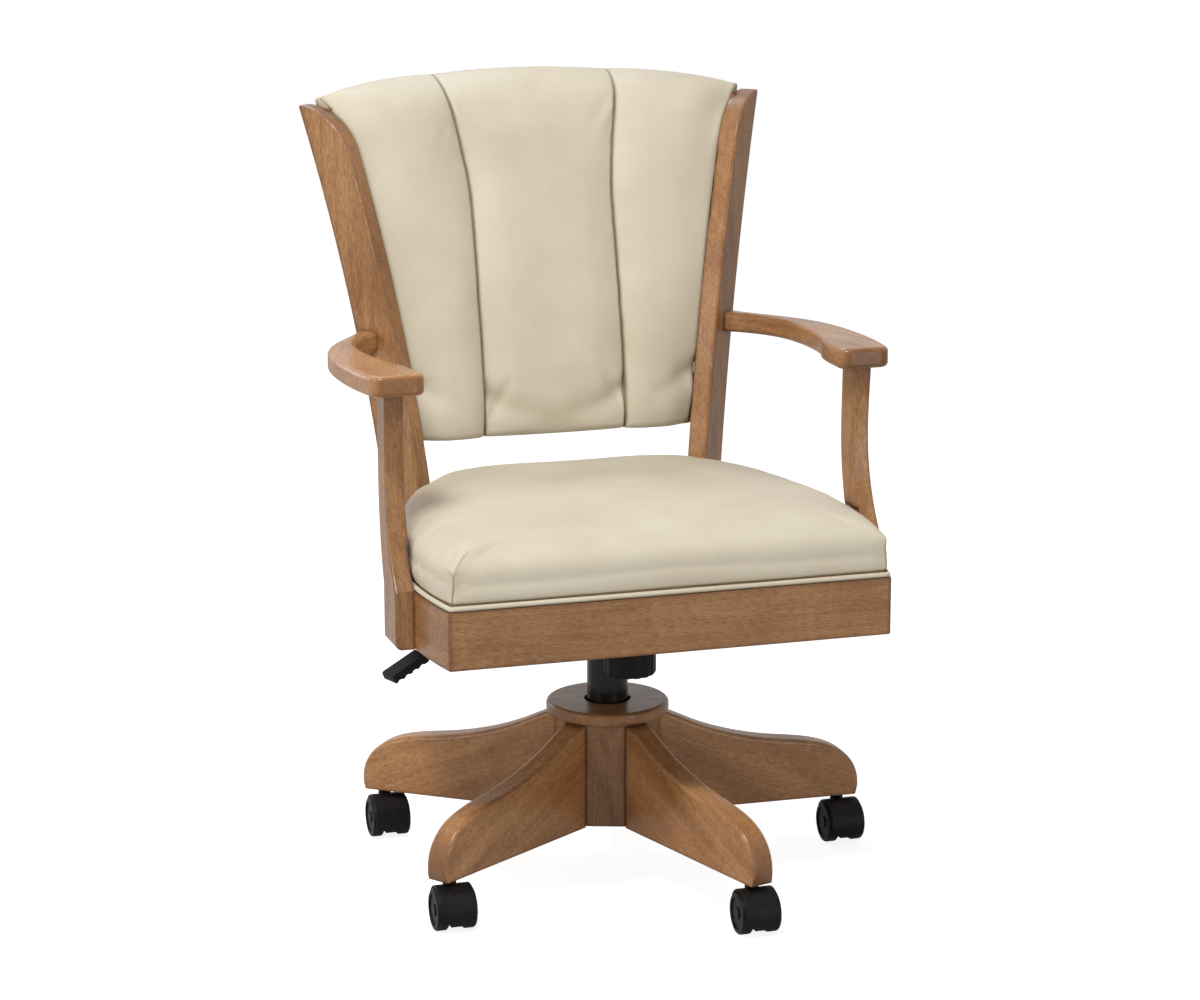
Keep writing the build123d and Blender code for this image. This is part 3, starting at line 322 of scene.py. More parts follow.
# Materials
def make_wood():
    """Brown-stained maple under satin lacquer. The grain attribute's x runs along each board."""
    m = Surface("stained_maple")
    grain = m.attribute("grain")
    cloud = m.noise(m.stretch(grain, (5, 16, 16)), 1.0, 3.0, 0.55, 0.9)
    streak = m.noise(m.stretch(grain, (6, 140, 140)), 1.0, 4.0, 0.62, 0.7)
    pores = m.noise(m.stretch(grain, (110, 1000, 1000)), 1.0, 3.0, 0.65, 0.3)
    curl = m.noise(m.stretch(grain, (60, 12, 12)), 1.0, 2.0, 0.5, 0.5)
    tone = m.ramp(cloud, (0.28, WOOD_DARK), (0.50, WOOD_MID), (0.76, WOOD_LIGHT))
    tone = m.mix(m.levels(streak, 0.34, 0.58, 0.48, 0.0), tone, WOOD_STREAK)
    tone = m.mix(m.levels(curl, 0.52, 0.74, 0.0, 0.18), tone, WOOD_CURL)
    tone = m.mix(m.levels(pores, 0.50, 0.64, 0.0, 0.65), tone, WOOD_PORE)
    tone = m.mix(m.levels(pores, 0.46, 0.34, 0.0, 0.30), tone, WOOD_PALE_PORE)
    knots = m.node("ShaderNodeTexVoronoi", {"Vector": m.stretch(grain, (5.5, 15, 15)), "Scale": 1.0})
    ring = m.maths("ADD", knots.outputs["Distance"], m.maths("MULTIPLY", streak, 0.10))
    tone = m.mix(m.levels(ring, 0.07, 0.17, 0.5, 0.0), tone, WOOD_KNOT)
    # Painted shade in creases and joints from the occlusion mask, also standing for stain gathered in the
    # joints
    tone = m.mix(m.levels(m.openness(0.010), 0.35, 0.85, 0.60, 0.0), tone, WOOD_CREASE_SHADE)
    flat = m.vectors("DOT_PRODUCT", m.rounded(0.007), m.facing()).outputs["Value"]
    tone = m.mix(m.levels(flat, 0.92, 0.998, 0.55, 0.0), tone, WOOD_EDGE)
    along = m.vectors("DOT_PRODUCT", m.facing(), m.attribute("grain_way")).outputs["Value"]
    tone = m.mix(m.levels(m.maths("ABSOLUTE", along), 0.45, 0.95, 0.0, 0.55), tone, WOOD_END)
    return m.finish({
        # Each board's tone multiplies the colour; on some boards it is painted light or shade
        "Base Color": m.mix(1.0, tone, m.attribute("board_tone_and_light"), "MULTIPLY"),
        "Roughness": m.levels(streak, 0.3, 0.7, 0.44, 0.36),
        "Normal": m.bump(m.maths("ADD", pores, streak), 0.10, 0.0005, m.rounded(0.0022)),
        "Specular IOR Level": 0.25, "Coat Weight": 0.36, "Coat Roughness": 0.22,
    })


def make_leather():
    """Cream leather: fine pebble, soft mottling, a little shine, and painted shade in its sewn seams and
    creases.
    """
    m = Surface("cream_leather")
    where = m.place()
    wobble = m.stretch(m.noise(where, 240.0), (0.0016, 0.0016, 0.0016))
    warped = m.vectors("ADD", where, wobble).outputs[0]
    cells = m.node("ShaderNodeTexVoronoi", {"Vector": warped, "Scale": 620.0}, feature="DISTANCE_TO_EDGE")
    pebble = m.levels(cells.outputs["Distance"], 0.0, 0.10, 0.0, 1.0)
    mottle = m.noise(where, 9.0, 3.0, 0.55)
    fine = m.noise(where, 900.0, 2.0, 0.6)
    tone = m.ramp(mottle, (0.34, LEATHER_DARK), (0.66, LEATHER_LIGHT))
    tone = m.mix(m.levels(pebble, 0.0, 1.0, 0.10, 0.0), tone, LEATHER_PORE)
    # Painted shade in the seams and where the pad meets the stiles
    tone = m.mix(m.levels(m.attribute("seam_shade", "Fac"), 0.0, 1.0, 0.0, 0.70), tone, LEATHER_SEAM_SHADE)
    # Painted shade in the leather's creases, from the occlusion mask
    tone = m.mix(m.levels(m.openness(0.012), 0.30, 0.80, 0.45, 0.0), tone, LEATHER_CREASE_SHADE)
    height = m.maths("ADD", pebble, m.maths("MULTIPLY", fine, 0.35))
    return m.finish({
        "Base Color": tone,
        "Roughness": m.levels(mottle, 0.3, 0.7, 0.50, 0.60),
        "Normal": m.bump(height, 0.16, 0.0004),
        "Specular IOR Level": 0.3, "Sheen Weight": 0.04,
    })


def make_black(name, colour, rough, speck, coat):
    """Black paint or moulded plastic with a fine skin and handling marks."""
    m = Surface(name)
    where = m.place()
    skin = m.noise(where, speck, 2.0, 0.6)
    marks = m.noise(where, 34.0, 4.0, 0.65)
    light = tuple(c * 1.8 + 0.003 for c in colour)
    return m.finish({
        "Base Color": m.ramp(marks, (0.42, colour), (0.74, light)),
        "Roughness": m.levels(marks, 0.3, 0.75, rough, rough + 0.12),
        "Normal": m.bump(skin, 0.10, 0.0003, m.rounded(0.0007)),
        "Specular IOR Level": 0.16, "Coat Weight": coat, "Coat Roughness": 0.15,
    })


def make_steel():
    """Plain steel with fine drawn lines."""
    m = Surface("plain_steel")
    lines = m.noise(m.stretch(m.place(), (400, 400, 60)), 1.0, 3.0, 0.6)
    return m.finish({
        "Base Color": m.ramp(lines, (0.3, (0.34, 0.34, 0.35)), (0.7, (0.55, 0.55, 0.56))),
        "Roughness": m.levels(lines, 0.3, 0.7, 0.26, 0.42),
        "Normal": m.bump(lines, 0.05, 0.0002),
        "Metallic": 1.0,
    })


def make_ply(name, dark, light, fibres):
    """Plywood and softwood, seen from below and where the back board's tongues show."""
    m = Surface(name)
    where = m.place()
    streak = m.noise(m.stretch(where, (4, 40, 160)), 1.0, 4.0, 0.6, 0.8)
    fibre = m.noise(m.stretch(where, (30, 700, 700)), 1.0)
    tone = m.ramp(streak, (0.32, dark), (0.68, light))
    return m.finish({
        "Base Color": m.mix(m.levels(fibre, 0.4, 0.65, 0.18, 0.0), tone, fibres),
        "Roughness": m.levels(streak, 0.3, 0.7, 0.62, 0.75),
        "Normal": m.bump(fibre, 0.15, 0.0005),
    })


leather = make_leather()
steel = make_steel()
finish = {
    "wood": make_wood(),
    "leather": leather,
    "black_metal": make_black("black_enamel", (0.0055, 0.0046, 0.0046), 0.24, 900.0, 0.2),
    "steel": steel,
    "black_plastic": make_black("black_plastic", (0.0042, 0.0036, 0.0036), 0.42, 1500.0, 0.0),
    "plywood": make_ply("bare_wood", srgb(176, 139, 96), srgb(212, 178, 132), srgb(140, 104, 68)),
}
stained_ply = make_ply("stained_plywood", srgb(128, 86, 50), srgb(150, 106, 64), srgb(96, 64, 38))
for sub in frame["record"]["subparts"]:
    slots = nodes[sub["node"]].data.materials
    slots.clear()
    slots.append(finish[sub["material_slot"]])
nodes["back_board"].data.materials[0] = stained_ply

# Grain of the wooden pieces. The shifts keep one board from repeating the next
LEG_SLOPE_COS, LEG_SLOPE_SIN = 0.92, 0.39
LEG_SHIFT = (1.7, 0.9, 0.6)
SIDE_SHIFT, ACROSS_SHIFT, UPRIGHT_SHEAR = 3.1, 5, 2


def leg_turn(p):
    """Number of the leg that a point belongs to, and the leg's direction."""
    k = round((math.degrees(math.atan2(p[1], p[0])) - BASE_TURN) / (360 / LEG_COUNT))
    return k, math.radians(BASE_TURN + k * 360 / LEG_COUNT)


def leg_grain(p):
    """Along and across the leg that a point belongs to."""
    k, a = leg_turn(p)
    along = p[0] * math.cos(a) + p[1] * math.sin(a)
    across = -p[0] * math.sin(a) + p[1] * math.cos(a)
    return (along * LEG_SLOPE_COS - p[2] * LEG_SLOPE_SIN + k * LEG_SHIFT[0],
            across + k * LEG_SHIFT[1],
            p[2] * LEG_SLOPE_COS + along * LEG_SLOPE_SIN + k * LEG_SHIFT[2])


def leg_way(p):
    _, a = leg_turn(p)
    return (math.cos(a), math.sin(a), 0)


def bow_grain(p):
    """Along the bow of a side rail or an arm."""
    x, y = abs(p[0]) - SIDE_C[0], p[1] - SIDE_C[1]
    s = math.copysign(SIDE_SHIFT, p[0])
    return (math.atan2(y, x) * SIDE_R + s, math.hypot(x, y) + s, p[2])


def bow_way(p):
    a = math.atan2(p[1] - SIDE_C[1], abs(p[0]) - SIDE_C[0])
    return (-math.sin(a) * math.copysign(1, p[0]), math.cos(a), 0)


def upright_grain(p):
    return (p[2] + p[0] * UPRIGHT_SHEAR, p[0], p[1])


def upright_way(p):
    return (0, 0, 1)


def level_grain(p):
    return (p[0], p[1] + ACROSS_SHIFT, p[2])


def level_way(p):
    return (1, 0, 0)


# Where the grain runs on each wooden piece, and how light that piece is: partly its own tone, partly
# painted light and shade (the hub darkened for the shade under its cap, the legs and the right arm
# lightened for the light on them)
LEG, BOW = (leg_grain, leg_way), (bow_grain, bow_way)
UPRIGHT, LEVEL = (upright_grain, upright_way), (level_grain, level_way)
BOARDS = {
    "base_legs": (LEG, 1.3), "base_hub": (UPRIGHT, 0.82), "hub_cap": (LEVEL, 1.04),
    "front_rail": (LEVEL, 0.97), "rear_rail": (LEVEL, 1.0),
    "side_rail_left": (BOW, 1.0), "side_rail_right": (BOW, 1.0),
    "stile_left": (UPRIGHT, 1.15), "stile_right": (UPRIGHT, 1.06),
    "arm_left": (BOW, 1.05), "arm_right": (BOW, 1.35),
    "arm_post_left": (UPRIGHT, 1.1), "arm_post_right": (UPRIGHT, 1.0),
}


def store_vectors(mesh, name, at_point):
    """Stores a vector at each point of a mesh, for its material."""
    attr = mesh.attributes.new(name, "FLOAT_VECTOR", "POINT")
    for v, d in zip(mesh.vertices, attr.data):
        d.vector = at_point(v.co)


for name, ((grain, way), tone) in BOARDS.items():
    mesh = nodes[name].data
    store_vectors(mesh, "grain", grain)
    store_vectors(mesh, "grain_way", way)
    store_vectors(mesh, "board_tone_and_light", lambda p: (tone, tone, tone))

# Plan of the seat: points along the front, the side, the clipped corner and the rear of one half
HALF_COUNTS = (54, 80, 16, 30)
CORNER_CROWDING = 1.5
PLAN_STEP = 0.005


def seat_loop(inset, soft):
    """Closed plan drawn in by inset, its corners softened over a length, from the middle of the front."""
    r = SIDE_R - inset
    front = np.array((SIDE_C[0] + math.sqrt(r**2 - (FRONT_Y + inset - SIDE_C[1]) ** 2), FRONT_Y + inset))
    line = STILE_FOOT @ OUT_BACK - inset
    reach = line - SIDE_C @ OUT_BACK
    clip = SIDE_C + OUT_BACK * reach + OUT_SIDE * math.sqrt(r**2 - reach**2)
    rear = np.array(((line - (REAR_Y - inset) * OUT_BACK[1]) / OUT_BACK[0], REAR_Y - inset))
    a0 = math.atan2(*(front - SIDE_C)[::-1])
    a1 = math.atan2(*(clip - SIDE_C)[::-1])
    n0, n1, n2, n3 = HALF_COUNTS
    pts = [np.array((front[0] * (1 - (1 - k / n0) ** CORNER_CROWDING), front[1])) for k in range(n0)]
    turns = a0 + (a1 - a0) * np.linspace(0, 1, n1 + 1)[:-1] ** CORNER_CROWDING
    pts += [SIDE_C + r * np.array((math.cos(a), math.sin(a))) for a in turns]
    pts += [clip + (rear - clip) * k / n2 for k in range(n2)]
    pts += [np.array((rear[0] * (1 - k / n3), rear[1])) for k in range(n3 + 1)]
    half = np.array(pts)
    loop = np.concatenate([half, (half * (-1, 1))[1:-1][::-1]])
    n = len(loop)
    d = np.minimum(np.arange(n), n - np.arange(n)) * PLAN_STEP
    kernel = np.exp(-0.5 * (d / max(soft, 1e-4)) ** 2)
    kernel /= kernel.sum()
    f = np.fft.fft(kernel)
    return np.stack([np.fft.ifft(np.fft.fft(loop[:, i]) * f).real for i in (0, 1)], axis=1)


def curve_through(points, steps):
    """Points of a smooth curve through the given ones."""
    p = np.array(points, float)
    p = np.vstack([2 * p[0] - p[1], p, 2 * p[-1] - p[-2]])
    out = []
    for i in range(1, len(p) - 2):
        a, b, c, d = p[i - 1:i + 3]
        square, cube = 2 * a - 5 * b + 4 * c - d, 3 * b - a - 3 * c + d
        for t in np.linspace(0, 1, steps, endpoint=False):
            out.append(0.5 * (2 * b + (c - a) * t + square * t**2 + cube * t**3))
    out.append(p[-2])
    return np.array(out)


# Seat cushion: boxed front corners, drawn-in foot and a crown. Height, inset and softness of each ring
SEAT_RINGS = (
    (0.4066, 0.0075, 0.001), (0.4095, 0.0042, 0.001), (0.418, 0.0026, 0.002), (0.430, 0.0018, 0.004),
    (0.440, 0.0022, 0.008), (0.4480, 0.0048, 0.014), (0.4550, 0.0110, 0.022), (0.4615, 0.0240, 0.034),
    (0.4670, 0.0450, 0.048), (0.4720, 0.0780, 0.066), (0.4750, 0.1100, 0.085),
)
RING_STEPS, CROWN_SHARES, CROWN_RISE = 4, np.linspace(0.92, 0.04, 14), 0.0022
HELD_BELOW = 0.4105

# Dart at each front corner: its fold, the gather beside it, the ear where it ends and the painted shade in
# the fold
DART_TOP, DART_FADE, DART_SHADE = 0.446, 0.006, 0.7
FOLD_OFF, FOLD_W, FOLD_DEPTH = 0.0008, 0.0009, 0.0020
GATHER_OFF, GATHER_W, GATHER_DEPTH = 0.008, 0.005, 0.0012
EAR_W, EAR_H, EAR_OUT = 0.006, 0.004, 0.0016

# Soft waves on the seat's sides and top, with scale, seed and height, and where they fade in
SIDE_WAVES = (((42, 42, 9), 3.7, 0.0007), ((16, 16, 6), 9.1, 0.0010))
SIDE_WAVES_TOP, SIDE_WAVES_FADE = 0.470, 0.03
TOP_WAVES = ((9, 9, 0), 1.3, 0.0008)
TOP_WAVES_FOOT, TOP_WAVES_FADE = 0.455, 0.02


def sew_seat(obj, centre, cols, ring_count):
    """Sews the darts, paints shade along their folds and lets the leather wave."""
    co = coords(obj)
    on_ring = np.arange(len(co)) < ring_count * cols
    inward = centre[:2] - co[:, :2]
    inward /= np.maximum(np.linalg.norm(inward, axis=1, keepdims=True), 1e-6)
    ring_no = np.minimum(np.arange(len(co)) // cols, ring_count - 1)
    seam_shade = np.zeros(len(co))
    for corner in (HALF_COUNTS[0], cols - HALF_COUNTS[0]):
        gap = np.linalg.norm(co[:, :2] - co[ring_no * cols + corner, :2], axis=1)
        low = fade_in(DART_TOP - co[:, 2], DART_FADE) * on_ring
        dent = bell(gap - FOLD_OFF, FOLD_W) * FOLD_DEPTH + bell(gap - GATHER_OFF, GATHER_W) * GATHER_DEPTH
        co[:, :2] += inward * (dent * low)[:, None]
        ear = bell(gap, EAR_W) * bell(co[:, 2] - DART_TOP, EAR_H) * on_ring
        co[:, :2] -= inward * (ear * EAR_OUT)[:, None]
        # Painted shade along the dart's fold
        seam_shade = np.maximum(seam_shade, bell(gap, FOLD_W) * low * DART_SHADE)
    low = fade_in(SIDE_WAVES_TOP - co[:, 2], SIDE_WAVES_FADE) * on_ring
    co[:, :2] -= inward * (waves(co, *SIDE_WAVES) * low)[:, None]
    co[:, 2] += waves(co, TOP_WAVES) * fade_in(co[:, 2] - TOP_WAVES_FOOT, TOP_WAVES_FADE)
    set_coords(obj, co)
    paint_seam_shade(obj, seam_shade)


def make_seat():
    cols = 2 * sum(HALF_COUNTS)
    rings = [np.column_stack([seat_loop(inset, soft), np.full(cols, z)])
             for z, inset, soft in curve_through(SEAT_RINGS, RING_STEPS)]
    centre = rings[-1].mean(axis=0)
    top = rings[-1] - centre
    for share in CROWN_SHARES:
        rings.append(centre + top * share + np.array((0, 0, CROWN_RISE * (1 - share**2))))
    crown = len(rings) * cols
    last = crown - cols
    verts = np.vstack([*rings, centre + (0, 0, CROWN_RISE), (centre[0], centre[1], rings[0][0, 2])])
    faces = grid_faces(len(rings), cols, wrap=True)
    faces += [(last + c, last + (c + 1) % cols, crown) for c in range(cols)]
    faces += [((c + 1) % cols, c, crown + 1) for c in range(cols)]
    obj = mesh_object("seat_pad", verts, faces)
    puff(obj, verts[:, 2] < HELD_BELOW)
    sew_seat(obj, centre, cols, len(rings))
    obj.data.materials.append(leather)
    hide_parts("seat_cushion")
    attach(obj, "seat")


make_seat()

# Welt cord round the foot of the cushion, a little uneven as sewn piping is
WELT_SOFT, WELT_SIDES = 0.004, 14
WELT_UNEVEN, WELT_UNEVEN_SCALE, WELT_SEED = 0.025, 30, 4.2


def make_welt():
    path = seat_loop(WELT_INSET, WELT_SOFT)
    n = len(path)
    ahead = np.roll(path, -1, axis=0) - np.roll(path, 1, axis=0)
    ahead /= np.linalg.norm(ahead, axis=1, keepdims=True)
    verts = []
    for (x, y), (ahead_x, ahead_y) in zip(path, ahead):
        uneven = noise.noise(Vector((x * WELT_UNEVEN_SCALE, y * WELT_UNEVEN_SCALE, WELT_SEED)))
        r = WELT_R * (1 + WELT_UNEVEN * uneven)
        for j in range(WELT_SIDES):
            a = 2 * math.pi * j / WELT_SIDES
            out = r * math.cos(a)
            verts.append((x + ahead_y * out, y - ahead_x * out, APRON_TOP + WELT_R + r * math.sin(a)))
    faces = grid_faces(n, WELT_SIDES, wrap=True)
    last = (n - 1) * WELT_SIDES
    for j in range(WELT_SIDES):
        k = (j + 1) % WELT_SIDES
        faces.append((last + j, last + k, k, j))
    obj = mesh_object("seat_piping", verts, faces)
    subdivide(obj)
    obj.data.materials.append(leather)
    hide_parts("seat_welt")
    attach(obj, "seat")


make_welt()

# Form of the back: the centre of the stiles' lean, the arch, and a first guess of the half width
LEAN = math.atan(STILE_LEAN)
LEAN_CW = STILE_RADIUS * math.cos(LEAN)
LEAN_CZ = APRON_TOP - STILE_RADIUS * math.sin(LEAN)
ARCH_R = ARCH_HALF_SPAN**2 / (2 * (BACK_CROWN_Z - BACK_END_Z))
HALF_GUESS = 0.24


def stile_front(z):
    """How far back a stile's front edge lies at a height."""
    return LEAN_CW - math.sqrt(STILE_RADIUS**2 - (z - LEAN_CZ) ** 2)


def round_over(z):
    """How far the stile's rounded top lies behind its leaning front line at a height."""
    foot = STILE_TOP - STILE_ROUND
    if z <= foot:
        return 0.0
    lean = (foot - LEAN_CZ) / STILE_RADIUS
    n = np.array((math.sqrt(1 - lean**2), -lean))
    d = np.array((stile_front(STILE_TOP) + STILE_D - stile_front(foot), STILE_ROUND))
    r = (d @ d) / (2 * (d @ n))
    w = stile_front(foot) + n[0] * r
    up = min(z, STILE_TOP) - foot - n[1] * r
    return w - math.sqrt(max(0.0, r**2 - up**2)) - stile_front(z)


def edge_point(z, depth):
    """Plan point on the stile's inner face, depth behind its front edge."""
    return STILE_FOOT + OUT_BACK * (stile_front(z) + depth)


def bow_y(x, edge):
    """Y of the bow that passes through an edge point and its mirror image."""
    return edge[1] + (edge[0] ** 2 - x**2) / (2 * BACK_BOW_R)


def arch_z(x):
    """Height of the arched top."""
    return BACK_CROWN_Z - x**2 / (2 * ARCH_R)


def seam_at(z):
    """How far a seam lies from the middle at a height."""
    return SEAM_X + SEAM_FLARE * max(0.0, (z - SEAM_FLARE_Z) / (BACK_CROWN_Z - SEAM_FLARE_Z)) ** 1.5


def across_back(c, z, half):
    """x, channel number and place in the channel (-1 to 1) of column c from -1 to 1."""
    s = seam_at(z)
    if abs(c) <= 1 / 3:
        return 3 * c * s, 0, 3 * c
    k = (abs(c) - 1 / 3) * 1.5
    return math.copysign(s + k * (half - s), c), 1, 2 * k - 1


# Back pad: how far its channels stand out, at the edge and at the seams, and its rolls at top and foot
CHANNEL_PUFF, EDGE_AHEAD, SEAM_AHEAD = 0.0120, -0.002, 0.013
CHANNEL_TOP, CORNER_DROP, TOP_DEPTH = (0.0012, 0.0036), 0.0015, 0.040
ROLL_H, ROLL_FOOT_H, FOOT_IN = 0.050, 0.068, 0.021
FOOT_SLOPE_SHARE, FOOT_TURN_SHARE = 0.55, 0.45
EDGE_BEHIND, EDGE_MOST, EDGE_TURN_Z, EDGE_TURN_H = 0.002, 0.0255, 0.9035, 0.012

# Its grid: columns in a side and the middle channel, and rows that crowd at the foot and the top
SIDE_COLS, CENTRE_COLS = 28, 36
FOOT_SHARE, TOP_SHARE = 0.02, 0.13
FOOT_ROWS, MIDDLE_ROWS, TOP_ROWS = 7, 78, 18
DEPTH_STEPS = (0.25, 0.5, 0.75, 1.0)


def edge_depth(z):
    """Depth of the pad's edge on the stile's inner face. It stays in front of the board inside."""
    most = EDGE_MOST + max(0.0, (z - EDGE_TURN_Z) / EDGE_TURN_H) * (TOP_DEPTH - EDGE_MOST)
    return min(round_over(z) + EDGE_BEHIND, most, TOP_DEPTH)


def channel_ahead(channel, place):
    """How far the pad stands in front of the stiles' front edges."""
    full = CHANNEL_PUFF * (1 - abs(place) ** 3) ** 0.55
    if channel == 0:
        return SEAM_AHEAD + full
    t = (place + 1) / 2
    return SEAM_AHEAD + (EDGE_AHEAD - SEAM_AHEAD) * t**1.3 + full


def back_front(c, row):
    """Point of the pad's front: row 0 at the foot, 1 at the arch."""
    x, channel, place = c * HALF_GUESS, 0, 0.0
    for _ in range(5):
        drop = CORNER_DROP * max(0.0, place) ** 6 * channel
        top = arch_z(x) + CHANNEL_TOP[channel] * (1 - place**2) ** 0.7 - drop
        z = BACK_Z0 + (top - BACK_Z0) * row
        edge, rim = edge_point(z, 0), edge_point(z, edge_depth(z))
        x, channel, place = across_back(c, z, rim[0])
    ahead = channel_ahead(channel, place)
    below_top, above_foot = top - z, z - BACK_Z0
    depth = -ahead
    if below_top < ROLL_H:
        q = 1 - below_top / ROLL_H
        depth += (TOP_DEPTH + ahead) * (1 - math.sqrt(max(0.0, 1 - q**2.4)))
    if channel:
        depth += max(0.0, place) ** 2.5 * (rim[1] - bow_y(rim[0], edge) - depth)
    if above_foot < ROLL_FOOT_H:
        q = 1 - above_foot / ROLL_FOOT_H
        turn = 1 - math.sqrt(max(0.0, 1 - q**16))
        depth += FOOT_IN * (FOOT_SLOPE_SHARE * q**2 + FOOT_TURN_SHARE * turn)
    return np.array((x, bow_y(x, edge) + depth, z))


def back_rear(c, row):
    """Point of the pad's rear, on the cover."""
    x = c * HALF_GUESS
    for _ in range(4):
        z = BACK_Z0 + (arch_z(x) - BACK_Z0) * row
        edge = edge_point(z, PAD_BACK)
        x, _, _ = across_back(c, z, edge[0])
    return np.array((x, bow_y(x, edge), z))


def back_mesh():
    """Closed mesh of the pad, its front points first, with its numbers of rows and columns."""
    side, middle = ((1 - np.cos(np.linspace(0, math.pi, n + 1))) / 2 for n in (SIDE_COLS, CENTRE_COLS))
    cs = np.concatenate([-1 + 2 / 3 * side[:-1], -1 / 3 + 2 / 3 * middle[:-1], 1 / 3 + 2 / 3 * side])
    foot = FOOT_SHARE * (1 - np.cos(np.linspace(0, math.pi / 2, FOOT_ROWS)))
    top = 1 - TOP_SHARE * (1 - np.sin(np.linspace(0, math.pi / 2, TOP_ROWS)))
    rows = np.concatenate([foot, np.linspace(FOOT_SHARE, 1 - TOP_SHARE, MIDDLE_ROWS)[1:-1], top])
    front = np.array([[back_front(c, r) for c in cs] for r in rows])
    rear = np.array([[back_rear(c, r) for c in cs] for r in rows])
    nr, nc = len(rows), len(cs)
    verts = front.reshape(-1, 3)
    faces = grid_faces(nr, nc)
    rim = grid_rim(nr, nc)
    loop = [r * nc + c for r, c in rim]
    for t in DEPTH_STEPS:
        new = list(range(len(verts), len(verts) + len(rim)))
        verts = np.vstack([verts, [front[r, c] * (1 - t) + rear[r, c] * t for r, c in rim]])
        faces += bridge_faces(loop, new)
        loop = new
    inner = len(verts)
    verts = np.vstack([verts, rear[1:-1, 1:-1].reshape(-1, 3)])
    index = dict(zip(rim, loop))
    for r in range(1, nr - 1):
        for c in range(1, nc - 1):
            index[(r, c)] = inner + (r - 1) * (nc - 2) + (c - 1)
    faces += [(index[(r, c)], index[(r + 1, c)], index[(r + 1, c + 1)], index[(r, c + 1)])
              for r in range(nr - 1) for c in range(nc - 1)]
    return mesh_object("back_pad", verts, faces), nr, nc


# Sewn seams of the back: the groove, its stitches and puckers, and the painted shade in it and along the
# stiles
GROOVE_W, GROOVE_DEPTH, GROOVE_SHADE_W, GROOVE_LEAST = 0.0012, 0.0030, 0.0011, 0.0004
PUCKER_REACH, STITCH_TURN, STITCH_H = 0.010, 2.1, 0.00030
PUCKER_SCALE, PUCKER_SEED, PUCKER_H = (3, 3, 60), 2.2, 0.0006
WANDER_SCALE, WANDER_SEED, WANDER_W = (0, 0, 46), 7.7, 0.0007
EDGE_SHADE, EDGE_SHADE_W = 0.75, 0.0016

# Soft waves, the smiling crease low in the middle channel and the pulls towards the stiles
BACK_WAVES = (((10, 10, 7), 5.1, 0.0012), ((30, 30, 12), 8.3, 0.0004))
BACK_WAVES_FOOT, BACK_WAVES_FADE = 0.50, 0.03
SMILE_Z, SMILE_RISE, SMILE_W, SMILE_DEPTH, SMILE_CORNER = 0.516, 0.032, 0.011, 0.0030, 0.0055
PULL_Z, PULL_RISE, PULL_W, PULL_DEPTH = 0.536, 0.034, 0.010, 0.0075
PULL_MIDDLE, PULL_START, PULL_SPAN = 1.3, 1.25, 0.8


def sew_back(obj, nr, nc, seams):
    """Draws the seams in, paints shade into them and along the stiles, and creases the leather."""
    co = coords(obj)
    number = np.arange(len(co))
    on_front = number < nr * nc
    row_of = np.where(on_front, number // nc, 0)
    seam_shade = np.zeros(len(co))
    for s in seams:
        gap = np.abs(co[:, 0] - co[row_of * nc + s, 0])
        near = bell(gap, PUCKER_REACH) * on_front
        pucker = np.sin(row_of * STITCH_TURN) * STITCH_H
        pucker += waves(co, (PUCKER_SCALE, PUCKER_SEED + s, PUCKER_H))
        groove = bell(gap, GROOVE_W) * on_front * GROOVE_DEPTH
        co[:, 1] += near * (gap > GROOVE_LEAST) * pucker + groove
        # Painted shade in the seam's groove
        seam_shade = np.maximum(seam_shade, bell(gap, GROOVE_SHADE_W) * on_front)
        co[:, 0] += near * waves(co, (WANDER_SCALE, WANDER_SEED + s, WANDER_W))
    # Painted shade where the pad meets the stiles
    for s in (0, nc - 1):
        gap = np.abs(co[:, 0] - co[row_of * nc + s, 0])
        seam_shade = np.maximum(seam_shade, EDGE_SHADE * bell(gap, EDGE_SHADE_W) * on_front)
    co[:, 1] += waves(co, *BACK_WAVES) * on_front * fade_in(co[:, 2] - BACK_WAVES_FOOT, BACK_WAVES_FADE)
    side = np.abs(co[:, 0]) / SEAM_X
    smile = bell(co[:, 2] - SMILE_Z - SMILE_RISE * side**2, SMILE_W) * (side < 1)
    smile *= SMILE_DEPTH + SMILE_CORNER * side**3
    slope = co[:, 2] - PULL_Z - PULL_RISE * (side - PULL_MIDDLE) / PULL_SPAN
    pull = bell(slope, PULL_W) * fade_in(side - PULL_START, PULL_SPAN) * PULL_DEPTH
    co[:, 1] += (smile + pull) * on_front
    set_coords(obj, co)
    paint_seam_shade(obj, seam_shade)


def make_back():
    obj, nr, nc = back_mesh()
    seams = (SIDE_COLS, SIDE_COLS + CENTRE_COLS)
    number = np.arange(len(obj.data.vertices))
    puff(obj, (number >= nr * nc) | np.isin(number % nc, (0, *seams, nc - 1)))
    sew_back(obj, nr, nc, seams)
    subdivide(obj)
    obj.data.materials.append(leather)
    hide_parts("back_cushion")
    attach(obj, "seat")


make_back()

# Outside back: a leather panel with a soft edge and a slight crown, just clear of the pad and the arch
COVER_POINTS, COVER_BELOW_ARCH = 61, 0.002
COVER_INNER, COVER_OUTER = PAD_BACK + 0.0006, COVER_BACK - 0.0018
COVER_EDGE, COVER_EDGE_RISE, COVER_CROWN = 0.06, 0.0016, 0.0012
COVER_WAVES = ((11, 11, 9), 6.4, 0.0005)


def cover_point(c, row, depth):
    """Point of the panel at a depth behind the stiles' front edges."""
    x = c * HALF_GUESS
    for _ in range(4):
        z = BACK_Z0 + (arch_z(x) - COVER_BELOW_ARCH - BACK_Z0) * row
        edge = edge_point(z, depth)
        x = c * edge[0]
    return np.array((x, bow_y(x, edge), z))


def cover_rise(c, row):
    """How far the panel's outside swells at a place."""
    edge = min(1 - abs(c), 2 * min(row, 1 - row)) / COVER_EDGE
    crown = COVER_CROWN * (1 - c * c) * (1 - (2 * row - 1) ** 2)
    return np.array((0, COVER_EDGE_RISE * min(1.0, edge) ** 0.5 + crown, 0))


